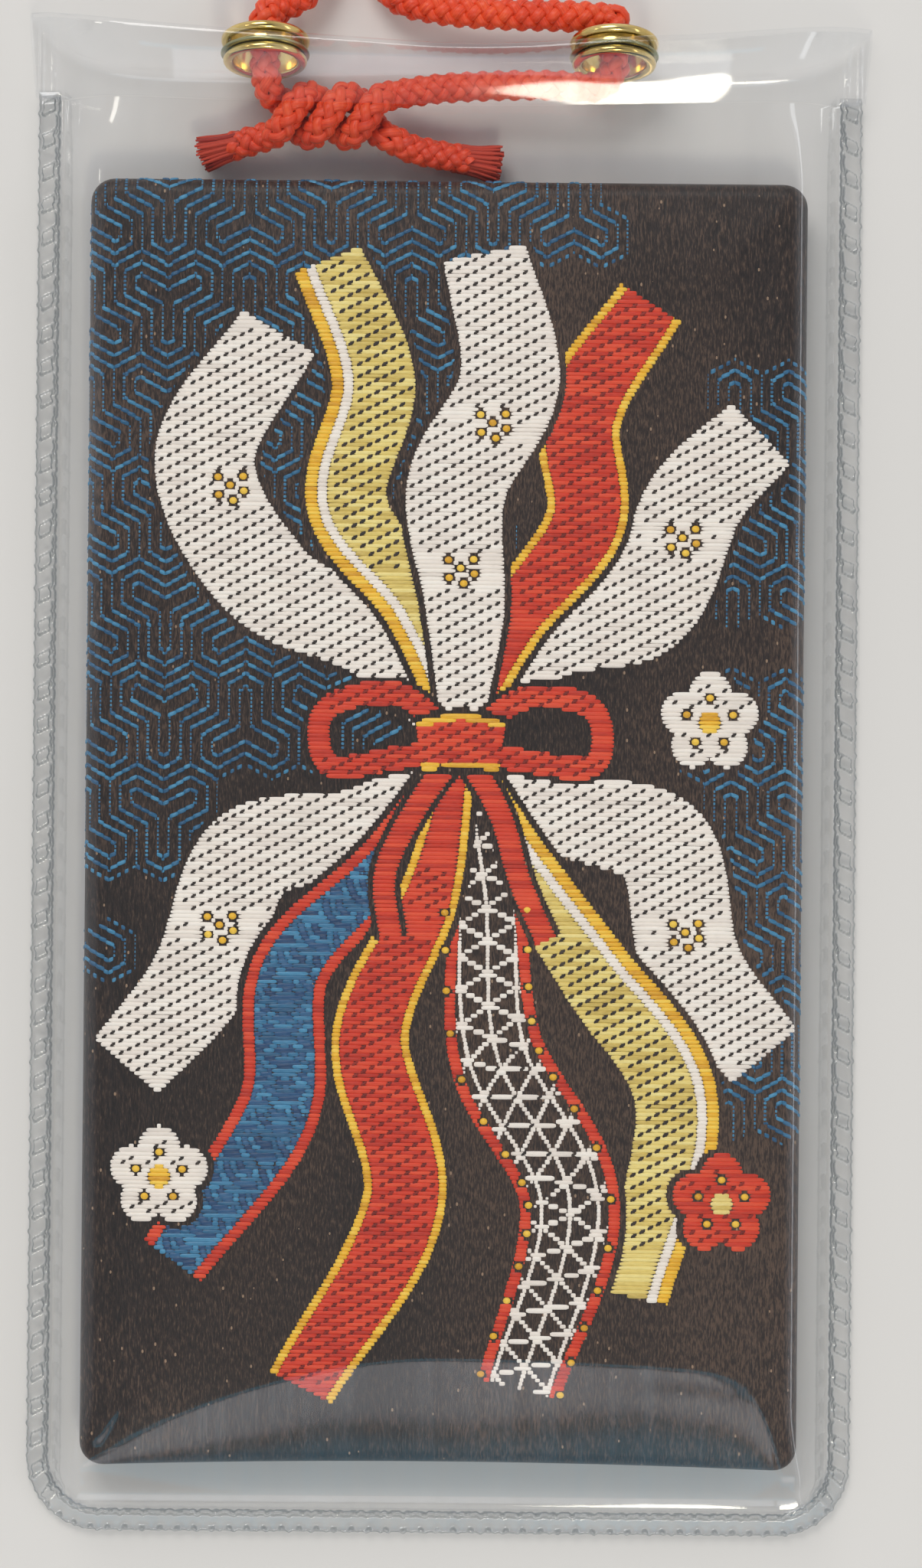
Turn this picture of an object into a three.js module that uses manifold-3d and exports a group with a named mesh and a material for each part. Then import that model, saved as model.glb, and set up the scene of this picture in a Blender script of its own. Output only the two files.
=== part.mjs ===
// A flat cloth charm in a clear soft sleeve, hung on a knotted cord through two eyelets.
// Millimetres. It lies on its back: +X right, +Y towards the top, +Z out of the front face.
import * as THREE from 'three';
import { mergeVertices } from 'three/addons/utils/BufferGeometryUtils.js';
import Module from 'manifold-3d';

const wasm = await Module();
wasm.setup();
const { Manifold, Mesh } = wasm;

// Driving dimensions of the charm.
const CHARM_WIDTH = 44.5;
const CHARM_HEIGHT = 79.9;
const CHARM_THICK = 3.4;
const CHARM_CORNER = 1.5;
const CHARM_EDGE = 1.2;
const CLOTH = 0.5;
const SEAM_GAP = 0.6;
const THREAD = 0.4;
const PAD_THICK = 0.3;
const CARD_THICK = 0.3;
const LAYER_GAP = 0.06;
const LINING_INSET = 1.5;
const PAPER = 0.15;
const TABLET_WIDTH = 26;
const TABLET_HEIGHT = 52;
const TABLET_THICK = 0.7;
const WRAPPER_OVERHANG = 1;
const BAND_HEIGHT = 7;

// The sleeve is made to fit the charm.
const SHEET = 0.3;
const GAP = 0.3;
const SIDE_MARGIN = 2.15;
const BOTTOM_MARGIN = 3.05;
const MOUTH_RISE = 5.5;
const EAR_RISE = 4.7;
const WELD_WIDTH = 1.35;
const WELD_HEIGHT = 0.6;
const WELD_CORNER = 4.0;
const MOUTH_DEPTH = 6.1;
const RIB_PITCH = 2.05;
const RIB_LENGTH = 1.0;
const RIB_WIDTH = 0.35;
const RIB_HEIGHT = 0.12;
const RIB_SLANT = Math.PI / 6;

// The top fold that carries the eyelets.
const FOLD_TILT = THREE.MathUtils.degToRad(15);
const FOLD_RISE = 2.53;
const FOLD_CENTRE_Z = 3.5;
const FOLD_FRONT_Z = 7.2;
const FOLD_STRAIGHT = 14.8;
const FOLD_EAR_DEPTH = 0.85;
const FOLD_ROUND = 0.5;

// Eyelets.
const EYELET_SPACING = 21.6;
const EYELET_OFF_CENTRE = -0.7;
const EYELET_BORE = 1.95;
const EYELET_BARREL = 2.2;
const EYELET_FLANGE = 2.75;
const EYELET_CURL = 0.6;
const WASHER_RADIUS = 2.95;
const WASHER_THICK = 0.35;

// The cord.
const CORD = 2.1;
const CORD_KNOTTED = 1.8;
const KNOT_X = -7.5;
const KNOT_DROP = 1.25;
const KNOT_Z = 2.9;
const KNOT_RADIUS = 1.3;
const KNOT_LENGTH = 7.2;
const KNOT_TURNS = 1.5;

// Values that follow from them.
const WELD_IN = CHARM_WIDTH / 2 + SIDE_MARGIN;
const HALF_WIDTH = WELD_IN + WELD_WIDTH;
const SLEEVE_HEIGHT = WELD_WIDTH + BOTTOM_MARGIN + CHARM_HEIGHT + MOUTH_RISE + EAR_RISE;
const BOTTOM_Y = -SLEEVE_HEIGHT / 2;
const TOP_Y = SLEEVE_HEIGHT / 2;
const WELD_IN_BOTTOM = BOTTOM_Y + WELD_WIDTH;
const WELD_IN_CORNER = WELD_CORNER - WELD_WIDTH;
const CHARM_BOTTOM = WELD_IN_BOTTOM + BOTTOM_MARGIN;
const CHARM_TOP = CHARM_BOTTOM + CHARM_HEIGHT;
const CHARM_MID_Y = (CHARM_BOTTOM + CHARM_TOP) / 2;
const CHARM_Z = SHEET + GAP;
const CHARM_FRONT_Z = CHARM_Z + CHARM_THICK;
const MOUTH_Y = CHARM_TOP + MOUTH_RISE;
const WELD_TOP = MOUTH_Y - GAP;
const FOLD_CENTRE_Y = MOUTH_Y + FOLD_RISE;
const KNOT_Y = MOUTH_Y - KNOT_DROP;
const EYELET_X = [EYELET_OFF_CENTRE - EYELET_SPACING / 2, EYELET_OFF_CENTRE + EYELET_SPACING / 2];
const EYELET_AXIS = new THREE.Vector3(0, Math.cos(FOLD_TILT), -Math.sin(FOLD_TILT));

const part = new THREE.Group();
part.name = 'charm_in_sleeve';

function look(color, roughness, metalness = 0) {
  return new THREE.MeshStandardMaterial({ color, roughness, metalness });
}

const VINYL = look(0xdfe6ea, 0.12);
const BRASS = look(0xc9a04a, 0.25, 1);
const CORD_RED = look(0xd32a17, 0.7);
const BROCADE = look(0x2b201d, 0.65);
const WADDING = look(0xe9e4d8, 0.95);
const BOARD = look(0xb9a98a, 0.9);
const CEDAR = look(0xd9b88a, 0.7);
const WASHI = look(0xf3efe4, 0.85);
const THREAD_DARK = look(0x1d1614, 0.8);

function add(name, geometry, material) {
  const mesh = new THREE.Mesh(geometry, material);
  mesh.name = name;
  part.add(mesh);
}

function clamp01(value) {
  return Math.min(1, Math.max(0, value));
}

function smooth(from, to, value) {
  const t = clamp01((value - from) / (to - from));
  return t * t * (3 - 2 * t);
}

function bare(geometry) {
  const copy = geometry.clone();
  copy.deleteAttribute('normal');
  copy.deleteAttribute('uv');
  return mergeVertices(copy, 1e-5);
}

function toManifold(geometry) {
  const solid = bare(geometry);
  return new Manifold(new Mesh({
    numProp: 3,
    vertProperties: new Float32Array(solid.attributes.position.array),
    triVerts: new Uint32Array(solid.index.array),
  }));
}

function fromManifold(solid) {
  const mesh = solid.getMesh();
  const geometry = new THREE.BufferGeometry();
  geometry.setAttribute('position', new THREE.BufferAttribute(new Float32Array(mesh.vertProperties), 3));
  geometry.setIndex(new THREE.BufferAttribute(new Uint32Array(mesh.triVerts), 1));
  geometry.computeVertexNormals();
  return geometry;
}

// A closed sheet of even thickness about a grid of mid-surface points, rows by columns.
function sheetFromGrid(rows, thickness) {
  const rowCount = rows.length;
  const columnCount = rows[0].length;
  const positions = [];
  const half = thickness / 2;
  for (const side of [1, -1]) {
    for (let r = 0; r < rowCount; r++) {
      for (let c = 0; c < columnCount; c++) {
        const along = rows[r][Math.min(c + 1, columnCount - 1)].clone();
        along.sub(rows[r][Math.max(c - 1, 0)]);
        const up = rows[Math.min(r + 1, rowCount - 1)][c].clone();
        up.sub(rows[Math.max(r - 1, 0)][c]);
        const normal = along.cross(up).normalize();
        const point = rows[r][c].clone().addScaledVector(normal, side * half);
        positions.push(point.x, point.y, point.z);
      }
    }
  }
  const layer = rowCount * columnCount;
  const at = (side, r, c) => side * layer + r * columnCount + c;
  const index = [];
  const quad = (a, b, c, d) => index.push(a, b, c, a, c, d);
  for (let r = 0; r + 1 < rowCount; r++) {
    for (let c = 0; c + 1 < columnCount; c++) {
      quad(at(0, r, c), at(0, r, c + 1), at(0, r + 1, c + 1), at(0, r + 1, c));
      quad(at(1, r, c), at(1, r + 1, c), at(1, r + 1, c + 1), at(1, r, c + 1));
    }
    quad(at(0, r, 0), at(0, r + 1, 0), at(1, r + 1, 0), at(1, r, 0));
    const last = columnCount - 1;
    quad(at(0, r + 1, last), at(0, r, last), at(1, r, last), at(1, r + 1, last));
  }
  for (let c = 0; c + 1 < columnCount; c++) {
    quad(at(0, 0, c + 1), at(0, 0, c), at(1, 0, c), at(1, 0, c + 1));
    const last = rowCount - 1;
    quad(at(0, last, c), at(0, last, c + 1), at(1, last, c + 1), at(1, last, c));
  }
  const geometry = new THREE.BufferGeometry();
  geometry.setAttribute('position', new THREE.BufferAttribute(new Float32Array(positions), 3));
  geometry.setIndex(index);
  geometry.computeVertexNormals();
  return geometry;
}

function tube(points, diameter, steps, sides = 8) {
  const shape = new THREE.Shape();
  for (let i = 0; i < sides; i++) {
    const angle = (2 * Math.PI * i) / sides;
    const x = (diameter / 2) * Math.cos(angle);
    const y = (diameter / 2) * Math.sin(angle);
    if (i === 0) shape.moveTo(x, y);
    else shape.lineTo(x, y);
  }
  shape.closePath();
  const extrudePath = new THREE.CatmullRomCurve3(points, false, 'centripetal');
  return new THREE.ExtrudeGeometry(shape, { steps, extrudePath, bevelEnabled: false });
}

function roundedRect(width, height, radius, centreY) {
  const x = width / 2;
  const low = centreY - height / 2;
  const high = centreY + height / 2;
  const shape = new THREE.Shape();
  shape.moveTo(-x + radius, low);
  shape.lineTo(x - radius, low);
  shape.absarc(x - radius, low + radius, radius, -Math.PI / 2, 0, false);
  shape.lineTo(x, high - radius);
  shape.absarc(x - radius, high - radius, radius, 0, Math.PI / 2, false);
  shape.lineTo(-x + radius, high);
  shape.absarc(-x + radius, high - radius, radius, Math.PI / 2, Math.PI, false);
  shape.lineTo(-x, low + radius);
  shape.absarc(-x + radius, low + radius, radius, Math.PI, 1.5 * Math.PI, false);
  return shape;
}

function slab(shape, z, depth) {
  const geometry = new THREE.ExtrudeGeometry(shape, { depth, bevelEnabled: false, curveSegments: 4 });
  return geometry.translate(0, 0, z);
}

// Half the width of a sheet at a height y, with its two bottom corners rounded.
function halfWidthAt(y, half, bottom, corner) {
  const below = bottom + corner - y;
  if (below <= 0) return half;
  return half - corner + Math.sqrt(Math.max(0, corner * corner - below * below));
}

// The ribbed weld that joins the two sheets along both sides and the bottom.
function weldShape() {
  const shape = new THREE.Shape();
  shape.moveTo(-HALF_WIDTH, WELD_TOP);
  shape.lineTo(-HALF_WIDTH, BOTTOM_Y + WELD_CORNER);
  shape.absarc(-HALF_WIDTH + WELD_CORNER, BOTTOM_Y + WELD_CORNER, WELD_CORNER, Math.PI, 1.5 * Math.PI, false);
  shape.lineTo(HALF_WIDTH - WELD_CORNER, BOTTOM_Y);
  shape.absarc(HALF_WIDTH - WELD_CORNER, BOTTOM_Y + WELD_CORNER, WELD_CORNER, -Math.PI / 2, 0, false);
  shape.lineTo(HALF_WIDTH, WELD_TOP);
  shape.lineTo(WELD_IN, WELD_TOP);
  shape.lineTo(WELD_IN, WELD_IN_BOTTOM + WELD_IN_CORNER);
  const turnX = WELD_IN - WELD_IN_CORNER;
  const turnY = WELD_IN_BOTTOM + WELD_IN_CORNER;
  shape.absarc(turnX, turnY, WELD_IN_CORNER, 0, -Math.PI / 2, true);
  shape.lineTo(-turnX, WELD_IN_BOTTOM);
  shape.absarc(-turnX, turnY, WELD_IN_CORNER, -Math.PI / 2, -Math.PI, true);
  shape.lineTo(-WELD_IN, WELD_TOP);
  return shape;
}

function rib(x, y, angle) {
  const geometry = new THREE.BoxGeometry(RIB_LENGTH, RIB_WIDTH, 2 * RIB_HEIGHT);
  geometry.rotateZ(angle);
  geometry.translate(x, y, WELD_HEIGHT);
  return toManifold(geometry);
}

function addWeld() {
  const pieces = [toManifold(slab(weldShape(), 0, WELD_HEIGHT))];
  const sideX = HALF_WIDTH - WELD_WIDTH / 2;
  for (let y = WELD_TOP - RIB_PITCH; y > BOTTOM_Y + WELD_CORNER; y -= RIB_PITCH) {
    pieces.push(rib(-sideX, y, RIB_SLANT));
    pieces.push(rib(sideX, y, RIB_SLANT));
  }
  const bottomY = BOTTOM_Y + WELD_WIDTH / 2;
  const bottomCount = Math.floor((2 * HALF_WIDTH - 2 * WELD_CORNER) / RIB_PITCH);
  for (let i = 0; i <= bottomCount; i++) {
    pieces.push(rib((i - bottomCount / 2) * RIB_PITCH, bottomY, Math.PI / 2));
  }
  add('sleeve_weld', fromManifold(Manifold.union(pieces)), VINYL);
}

// Height of the front panel's middle: it rises from the weld, lies over the charm and bows out at the mouth.
const PANEL_HALF = WELD_IN - 1.5 * GAP;
const PANEL_BOTTOM = WELD_IN_BOTTOM + 1.5 * GAP;
const PANEL_CORNER = WELD_IN_CORNER - GAP;
const PANEL_LOW_Z = WELD_HEIGHT + 0.25;
const PANEL_OVER_Z = CHARM_FRONT_Z + GAP + SHEET / 2;
const PANEL_SIDE_MARGIN = 2.8;
const PANEL_BOTTOM_MARGIN = 3.0;

function mouthHeight(x) {
  const across = Math.min(1, Math.abs(x) / PANEL_HALF);
  return PANEL_LOW_Z + (MOUTH_DEPTH - PANEL_LOW_Z) * (1 - across ** 4);
}

function panelHeight(x, y) {
  const qx = Math.abs(x) - (PANEL_HALF - PANEL_CORNER);
  const qy = PANEL_BOTTOM + PANEL_CORNER - y;
  const outside = Math.hypot(Math.max(qx, 0), Math.max(qy, 0));
  const inset = PANEL_CORNER - outside - Math.min(Math.max(qx, qy), 0);
  const margin = PANEL_SIDE_MARGIN + (PANEL_BOTTOM_MARGIN - PANEL_SIDE_MARGIN) * smooth(-1, 1, qy - qx);
  const t = clamp01(inset / margin);
  const overCharm = PANEL_LOW_Z + (PANEL_OVER_Z - PANEL_LOW_Z) * (1 - (1 - t) ** 2);
  const nearMouth = smooth(CHARM_TOP - 0.4, MOUTH_Y, y);
  return overCharm + (mouthHeight(x) - overCharm) * nearMouth;
}

const ACROSS = [0, 0.22, 0.44, 0.62, 0.76, 0.86, 0.905, 0.94, 0.97, 1];
const COLUMNS = [...ACROSS.slice(1).reverse().map((u) => -u), ...ACROSS];

function addFrontPanel() {
  const heights = [0, 0.35, 0.8, 1.4, 2.1, 3.0, 4.5].map((d) => PANEL_BOTTOM + d);
  heights.push(CHARM_MID_Y - CHARM_HEIGHT / 5, CHARM_MID_Y + CHARM_HEIGHT / 5, CHARM_TOP - CHARM_HEIGHT / 11);
  heights.push(CHARM_TOP - CHARM_EDGE / 2);
  for (const share of [0.1, 0.32, 0.54, 0.77, 1]) heights.push(CHARM_TOP + share * MOUTH_RISE);
  const rows = heights.map((y) => COLUMNS.map((u) => {
    const x = u * halfWidthAt(y, PANEL_HALF, PANEL_BOTTOM, PANEL_CORNER);
    return new THREE.Vector3(x, y, panelHeight(x, y));
  }));
  add('sleeve_front_panel', sheetFromGrid(rows, SHEET), VINYL);
}

// Section of the top fold at x: up the back, over the top, down the front to the mouth.
function foldSection(x) {
  const beyond = clamp01((Math.abs(x) - FOLD_STRAIGHT) / (HALF_WIDTH - FOLD_STRAIGHT));
  const open = 0.5 * (1 + Math.cos(Math.PI * beyond));
  const mix = (ear, middle) => ear + (middle - ear) * open;
  const slope = Math.tan(FOLD_TILT);
  const half = SHEET / 2;
  const backY = mix(TOP_Y - half, FOLD_CENTRE_Y - (FOLD_CENTRE_Z - half) * slope);
  const frontY = mix(TOP_Y - half, FOLD_CENTRE_Y + (FOLD_FRONT_Z - FOLD_CENTRE_Z) * slope);
  const frontZ = mix(FOLD_EAR_DEPTH, FOLD_FRONT_Z);
  const round = mix(0.35, FOLD_ROUND);
  const start = new THREE.Vector3(x, MOUTH_Y + GAP + 0.2, half);
  const back = new THREE.Vector3(x, backY, half);
  const front = new THREE.Vector3(x, frontY, frontZ);
  const end = new THREE.Vector3(x, MOUTH_Y + GAP, Math.max(mouthHeight(x), FOLD_EAR_DEPTH));
  const path = [start];
  const corners = [[start, back, front], [back, front, end]];
  for (const [before, corner, after] of corners) {
    const entry = corner.clone().add(before.clone().sub(corner).setLength(round));
    const leave = corner.clone().add(after.clone().sub(corner).setLength(round));
    for (let i = 0; i <= 4; i++) {
      const t = i / 4;
      const point = entry.clone().multiplyScalar((1 - t) ** 2);
      point.addScaledVector(corner, 2 * t * (1 - t));
      point.addScaledVector(leave, t * t);
      path.push(point);
    }
  }
  path.push(end);
  return path;
}

function eyeletFrame(geometry, x) {
  const turn = new THREE.Quaternion().setFromUnitVectors(new THREE.Vector3(0, 1, 0), EYELET_AXIS);
  geometry.applyQuaternion(turn);
  return geometry.translate(x, FOLD_CENTRE_Y, FOLD_CENTRE_Z);
}

function addBackPanel() {
  const half = WELD_IN - GAP;
  const bottom = WELD_IN_BOTTOM + GAP;
  const corner = WELD_IN_CORNER - GAP;
  const rows = [];
  const columns = [-1, -0.97, -0.92, -0.86, -0.8, -0.74, -0.68, -0.62, -0.576, -0.3];
  const across = [...columns, 0, ...columns.slice().reverse().map((u) => -u)];
  const heights = [0, 0.3, 0.7, 1.3, corner].map((d) => bottom + d);
  heights.push(MOUTH_Y - 0.05);
  for (const y of heights) {
    const width = halfWidthAt(y, half, bottom, corner);
    rows.push(across.map((u) => new THREE.Vector3(u * width, y, SHEET / 2)));
  }
  const sections = across.map((u) => foldSection(u * HALF_WIDTH));
  for (let i = 0; i < sections[0].length; i++) rows.push(sections.map((section) => section[i]));
  let solid = toManifold(sheetFromGrid(rows, SHEET));
  for (const x of EYELET_X) {
    const hole = new THREE.CylinderGeometry(EYELET_BARREL + GAP, EYELET_BARREL + GAP, 2, 24);
    solid = solid.subtract(toManifold(eyeletFrame(hole, x)));
  }
  add('sleeve_back_panel', fromManifold(solid), VINYL);
}

// Lathe profiles of the eyelet and its washer: radius and height along the eyelet's axis.
const FLANGE_UNDER = SHEET / 2 + 0.05;
const FLANGE_TOP = FLANGE_UNDER + EYELET_CURL;
const WASHER_TOP = -FLANGE_UNDER;
const WASHER_UNDER = WASHER_TOP - WASHER_THICK;
const ROLL_UNDER = WASHER_UNDER - 0.05 - EYELET_CURL * 0.75;

function lathe(profile) {
  const points = profile.map(([r, h]) => new THREE.Vector2(r, h));
  points.push(points[0].clone());
  return new THREE.LatheGeometry(points, 24);
}

function addEyelet(side, x) {
  const profile = [
    [EYELET_BORE, ROLL_UNDER + 0.15],
    [EYELET_BORE + 0.2, ROLL_UNDER],
    [EYELET_FLANGE - 0.25, ROLL_UNDER + 0.1],
    [EYELET_FLANGE - 0.15, WASHER_UNDER - 0.05],
    [EYELET_BARREL, WASHER_UNDER - 0.05],
    [EYELET_BARREL, FLANGE_UNDER],
    [EYELET_FLANGE, FLANGE_UNDER],
    [EYELET_FLANGE, FLANGE_UNDER + 0.3],
    [EYELET_FLANGE - 0.25, FLANGE_TOP],
    [EYELET_BORE + 0.25, FLANGE_TOP],
    [EYELET_BORE, FLANGE_TOP - 0.2],
  ];
  add(`eyelet_${side}`, eyeletFrame(lathe(profile), x), BRASS);
  const ring = [
    [EYELET_BARREL + 0.1, WASHER_UNDER],
    [WASHER_RADIUS - 0.1, WASHER_UNDER],
    [WASHER_RADIUS, WASHER_UNDER + 0.12],
    [WASHER_RADIUS - 0.05, WASHER_TOP],
    [EYELET_BARREL + 0.1, WASHER_TOP],
  ];
  add(`eyelet_washer_${side}`, eyeletFrame(lathe(ring), x), BRASS);
}

// A point on an eyelet's axis, at a height above the fold's sheet.
function onAxis(x, height) {
  return new THREE.Vector3(x, FOLD_CENTRE_Y, FOLD_CENTRE_Z).addScaledVector(EYELET_AXIS, height);
}

// Where the hanging loop turns about the eyelets, and the cord ends that meet there.
const LOOP_PIVOT = 2.2;
const LOOP_START = LOOP_PIVOT - 0.5;
const LEAD_END = 0.93;

function at(x, y, z) {
  return new THREE.Vector3(x, y, z);
}

// A point of the cord's route, at a rise above the sleeve's mouth.
function over(x, rise, z) {
  return at(x, MOUTH_Y + rise, z);
}

// One strand's way through the knot: two strands twist about each other along X.
function knotTurn(fromLeft) {
  const points = [];
  const count = 18;
  const sign = fromLeft ? 1 : -1;
  for (let i = 0; i <= count; i++) {
    const t = i / count;
    const angle = Math.PI / 2 + sign * 2 * Math.PI * KNOT_TURNS * t;
    const x = KNOT_X + sign * KNOT_LENGTH * (t - 0.5);
    points.push(at(x, KNOT_Y + KNOT_RADIUS * Math.sin(angle), KNOT_Z + KNOT_RADIUS * Math.cos(angle)));
  }
  return points;
}

function addCordEnds() {
  const [leftX, rightX] = EYELET_X;
  const left = [
    onAxis(leftX, LEAD_END), onAxis(leftX, 0), onAxis(leftX, -1.2), over(leftX + 0.15, 0.65, 3.6),
    ...knotTurn(true), over(-2.6, -3.25, 2.1), over(-0.6, -3.65, 1.7), over(2.05, -4.1, 1.6),
  ];
  const right = [
    onAxis(rightX, LEAD_END), onAxis(rightX, 0), onAxis(rightX, -1.2), over(rightX - 0.9, 0.7, 3.75),
    over(6.2, 0.65, 3.5), over(2.5, 0.55, 3.2), over(-1, 0.35, 3),
    ...knotTurn(false), over(-12.4, -2.95, 2.1), over(-13.9, -3.35, 1.7), over(-15.7, -3.85, 1.6),
  ];
  add('cord_left_end', tube(left, CORD_KNOTTED, 56), CORD_RED);
  add('cord_right_end', tube(right, CORD_KNOTTED, 66), CORD_RED);
}

function addCordLoop() {
  const [leftX, rightX] = EYELET_X;
  const lie = CORD / 2;
  const points = [
    onAxis(leftX, LOOP_START), onAxis(leftX, LOOP_PIVOT), over(leftX + 0.8, 5.65, 2.3), over(-8.9, 6.85, 1.7),
    over(-7.6, 9.45, lie), over(-7.4, 15.45, lie), over(-9.8, 29.45, lie), over(-12.2, 43.45, lie),
    over(-12, 52.45, lie), over(-9.6, 57.85, lie), over(-5.6, 59.85, lie), over(-1.6, 57.85, lie),
    over(0.8, 52.45, lie), over(1, 43.45, lie), over(-1.8, 29.45, lie), over(-4.6, 15.45, lie),
    over(-4.9, 9.25, lie), over(-3.6, 6.65, 1.5), over(-1, 5.85, 2.1), over(3, 5.45, 2.6),
    over(6.8, 5.35, 2.75), over(rightX - 0.6, 5.2, 2.75),
    onAxis(rightX, LOOP_PIVOT), onAxis(rightX, LOOP_START),
  ];
  add('cord_loop', tube(points, CORD, 56), CORD_RED);
}

// The cloth pouch: a front and a back tray that meet at a sewn seam half way through the thickness.
function pouchOuter() {
  const inset = 2 * CHARM_EDGE;
  const shape = roundedRect(CHARM_WIDTH - inset, CHARM_HEIGHT - inset, CHARM_CORNER * 0.5, CHARM_MID_Y);
  const geometry = new THREE.ExtrudeGeometry(shape, {
    depth: CHARM_THICK - inset,
    bevelThickness: CHARM_EDGE,
    bevelSize: CHARM_EDGE,
    bevelSegments: 3,
    curveSegments: 3,
  });
  return toManifold(geometry.translate(0, 0, CHARM_Z + CHARM_EDGE));
}

function pouchHollow() {
  const width = CHARM_WIDTH - 2 * CLOTH;
  const height = CHARM_HEIGHT - 2 * CLOTH;
  const bevel = CHARM_EDGE - CLOTH;
  const shape = roundedRect(width - 2 * bevel, height - 2 * bevel, CHARM_CORNER * 0.5, CHARM_MID_Y);
  const geometry = new THREE.ExtrudeGeometry(shape, {
    depth: CHARM_THICK - 2 * CLOTH - 2 * bevel,
    bevelThickness: bevel,
    bevelSize: bevel,
    bevelSegments: 2,
    curveSegments: 3,
  });
  return toManifold(geometry.translate(0, 0, CHARM_Z + CLOTH + bevel));
}

const SEAM_Z = CHARM_Z + CHARM_THICK / 2;

function addPouch() {
  const shell = pouchOuter().subtract(pouchHollow());
  const box = new THREE.BoxGeometry(2 * CHARM_WIDTH, 2 * CHARM_HEIGHT, CHARM_THICK);
  const above = toManifold(box.clone().translate(0, CHARM_MID_Y, SEAM_Z + SEAM_GAP / 2 + CHARM_THICK / 2));
  const below = toManifold(box.clone().translate(0, CHARM_MID_Y, SEAM_Z - SEAM_GAP / 2 - CHARM_THICK / 2));
  add('brocade_front', fromManifold(shell.intersect(above)), BROCADE);
  add('brocade_back', fromManifold(shell.intersect(below)), BROCADE);
}

// The thread runs down one side of the seam, along the bottom and up the other side.
function addSeams() {
  const x = CHARM_WIDTH / 2 - THREAD;
  const top = CHARM_TOP - 3;
  const low = CHARM_BOTTOM + THREAD;
  const left = [at(-x, top, SEAM_Z), at(-x, CHARM_MID_Y, SEAM_Z), at(-x, low + CHARM_CORNER + 2, SEAM_Z)];
  for (let i = 0; i <= 4; i++) {
    const angle = Math.PI + (Math.PI / 8) * i;
    const turnX = -x + CHARM_CORNER * (1 + Math.cos(angle));
    const turnY = low + CHARM_CORNER * (1 + Math.sin(angle));
    left.push(at(turnX, turnY, SEAM_Z));
  }
  left.push(at(-x + CHARM_CORNER + 2, low, SEAM_Z));
  const right = left.slice().reverse().map((point) => at(-point.x, point.y, point.z));
  add('seam_thread', tube([...left, at(0, low, SEAM_Z), ...right], THREAD, 96, 5), THREAD_DARK);
  const mouthX = CHARM_WIDTH / 2 - 2;
  const mouth = [at(-mouthX, CHARM_TOP - THREAD, SEAM_Z), at(mouthX, CHARM_TOP - THREAD, SEAM_Z)];
  add('mouth_thread', tube(mouth, THREAD, 4, 5), THREAD_DARK);
}

// A flat paper tube along Y: a rectangular ring in section.
function paperRing(width, height, thick, z) {
  const shape = new THREE.Shape();
  shape.moveTo(-width / 2, 0);
  shape.lineTo(width / 2, 0);
  shape.lineTo(width / 2, thick);
  shape.lineTo(-width / 2, thick);
  const hole = new THREE.Path();
  hole.moveTo(-width / 2 + PAPER, PAPER);
  hole.lineTo(-width / 2 + PAPER, thick - PAPER);
  hole.lineTo(width / 2 - PAPER, thick - PAPER);
  hole.lineTo(width / 2 - PAPER, PAPER);
  shape.holes.push(hole);
  const geometry = new THREE.ExtrudeGeometry(shape, { depth: height, bevelEnabled: false });
  geometry.rotateX(Math.PI / 2);
  return geometry.translate(0, CHARM_MID_Y + height / 2, z);
}

function addContents() {
  const liningWidth = CHARM_WIDTH - 2 * LINING_INSET;
  const liningHeight = CHARM_HEIGHT - 2 * LINING_INSET;
  const lining = roundedRect(liningWidth, liningHeight, CHARM_CORNER, CHARM_MID_Y);
  const cardZ = CHARM_Z + CLOTH + LAYER_GAP;
  const bandZ = cardZ + CARD_THICK + LAYER_GAP;
  const wrapperZ = bandZ + PAPER + LAYER_GAP;
  const tabletZ = wrapperZ + PAPER + LAYER_GAP;
  const wrapperThick = TABLET_THICK + 2 * (PAPER + LAYER_GAP);
  const bandThick = wrapperThick + 2 * (PAPER + LAYER_GAP);
  const wrapperWidth = TABLET_WIDTH + 2 * (PAPER + LAYER_GAP);
  const bandWidth = wrapperWidth + 2 * (PAPER + LAYER_GAP);
  const padZ = CHARM_FRONT_Z - CLOTH - LAYER_GAP - PAD_THICK;
  add('stiffener_card', slab(lining, cardZ, CARD_THICK), BOARD);
  const tablet = new THREE.BoxGeometry(TABLET_WIDTH, TABLET_HEIGHT, TABLET_THICK);
  add('tablet', tablet.translate(0, CHARM_MID_Y, tabletZ + TABLET_THICK / 2), CEDAR);
  const wrapperHeight = TABLET_HEIGHT + 2 * WRAPPER_OVERHANG;
  add('tablet_wrapper', paperRing(wrapperWidth, wrapperHeight, wrapperThick, wrapperZ), WASHI);
  add('wrapper_band', paperRing(bandWidth, BAND_HEIGHT, bandThick, bandZ), WASHI);
  add('front_padding', slab(lining, padZ, PAD_THICK), WADDING);
}

addBackPanel();
addWeld();
addFrontPanel();
['left', 'right'].forEach((side, i) => addEyelet(side, EYELET_X[i]));
addCordEnds();
addCordLoop();
addPouch();
addSeams();
addContents();

export default part;
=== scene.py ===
"""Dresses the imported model: a clear sleeve, brass eyelets, a braided cord and a woven charm.

Lengths are in millimetres until a mesh, lamp or camera is made.
"""
import math

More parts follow.
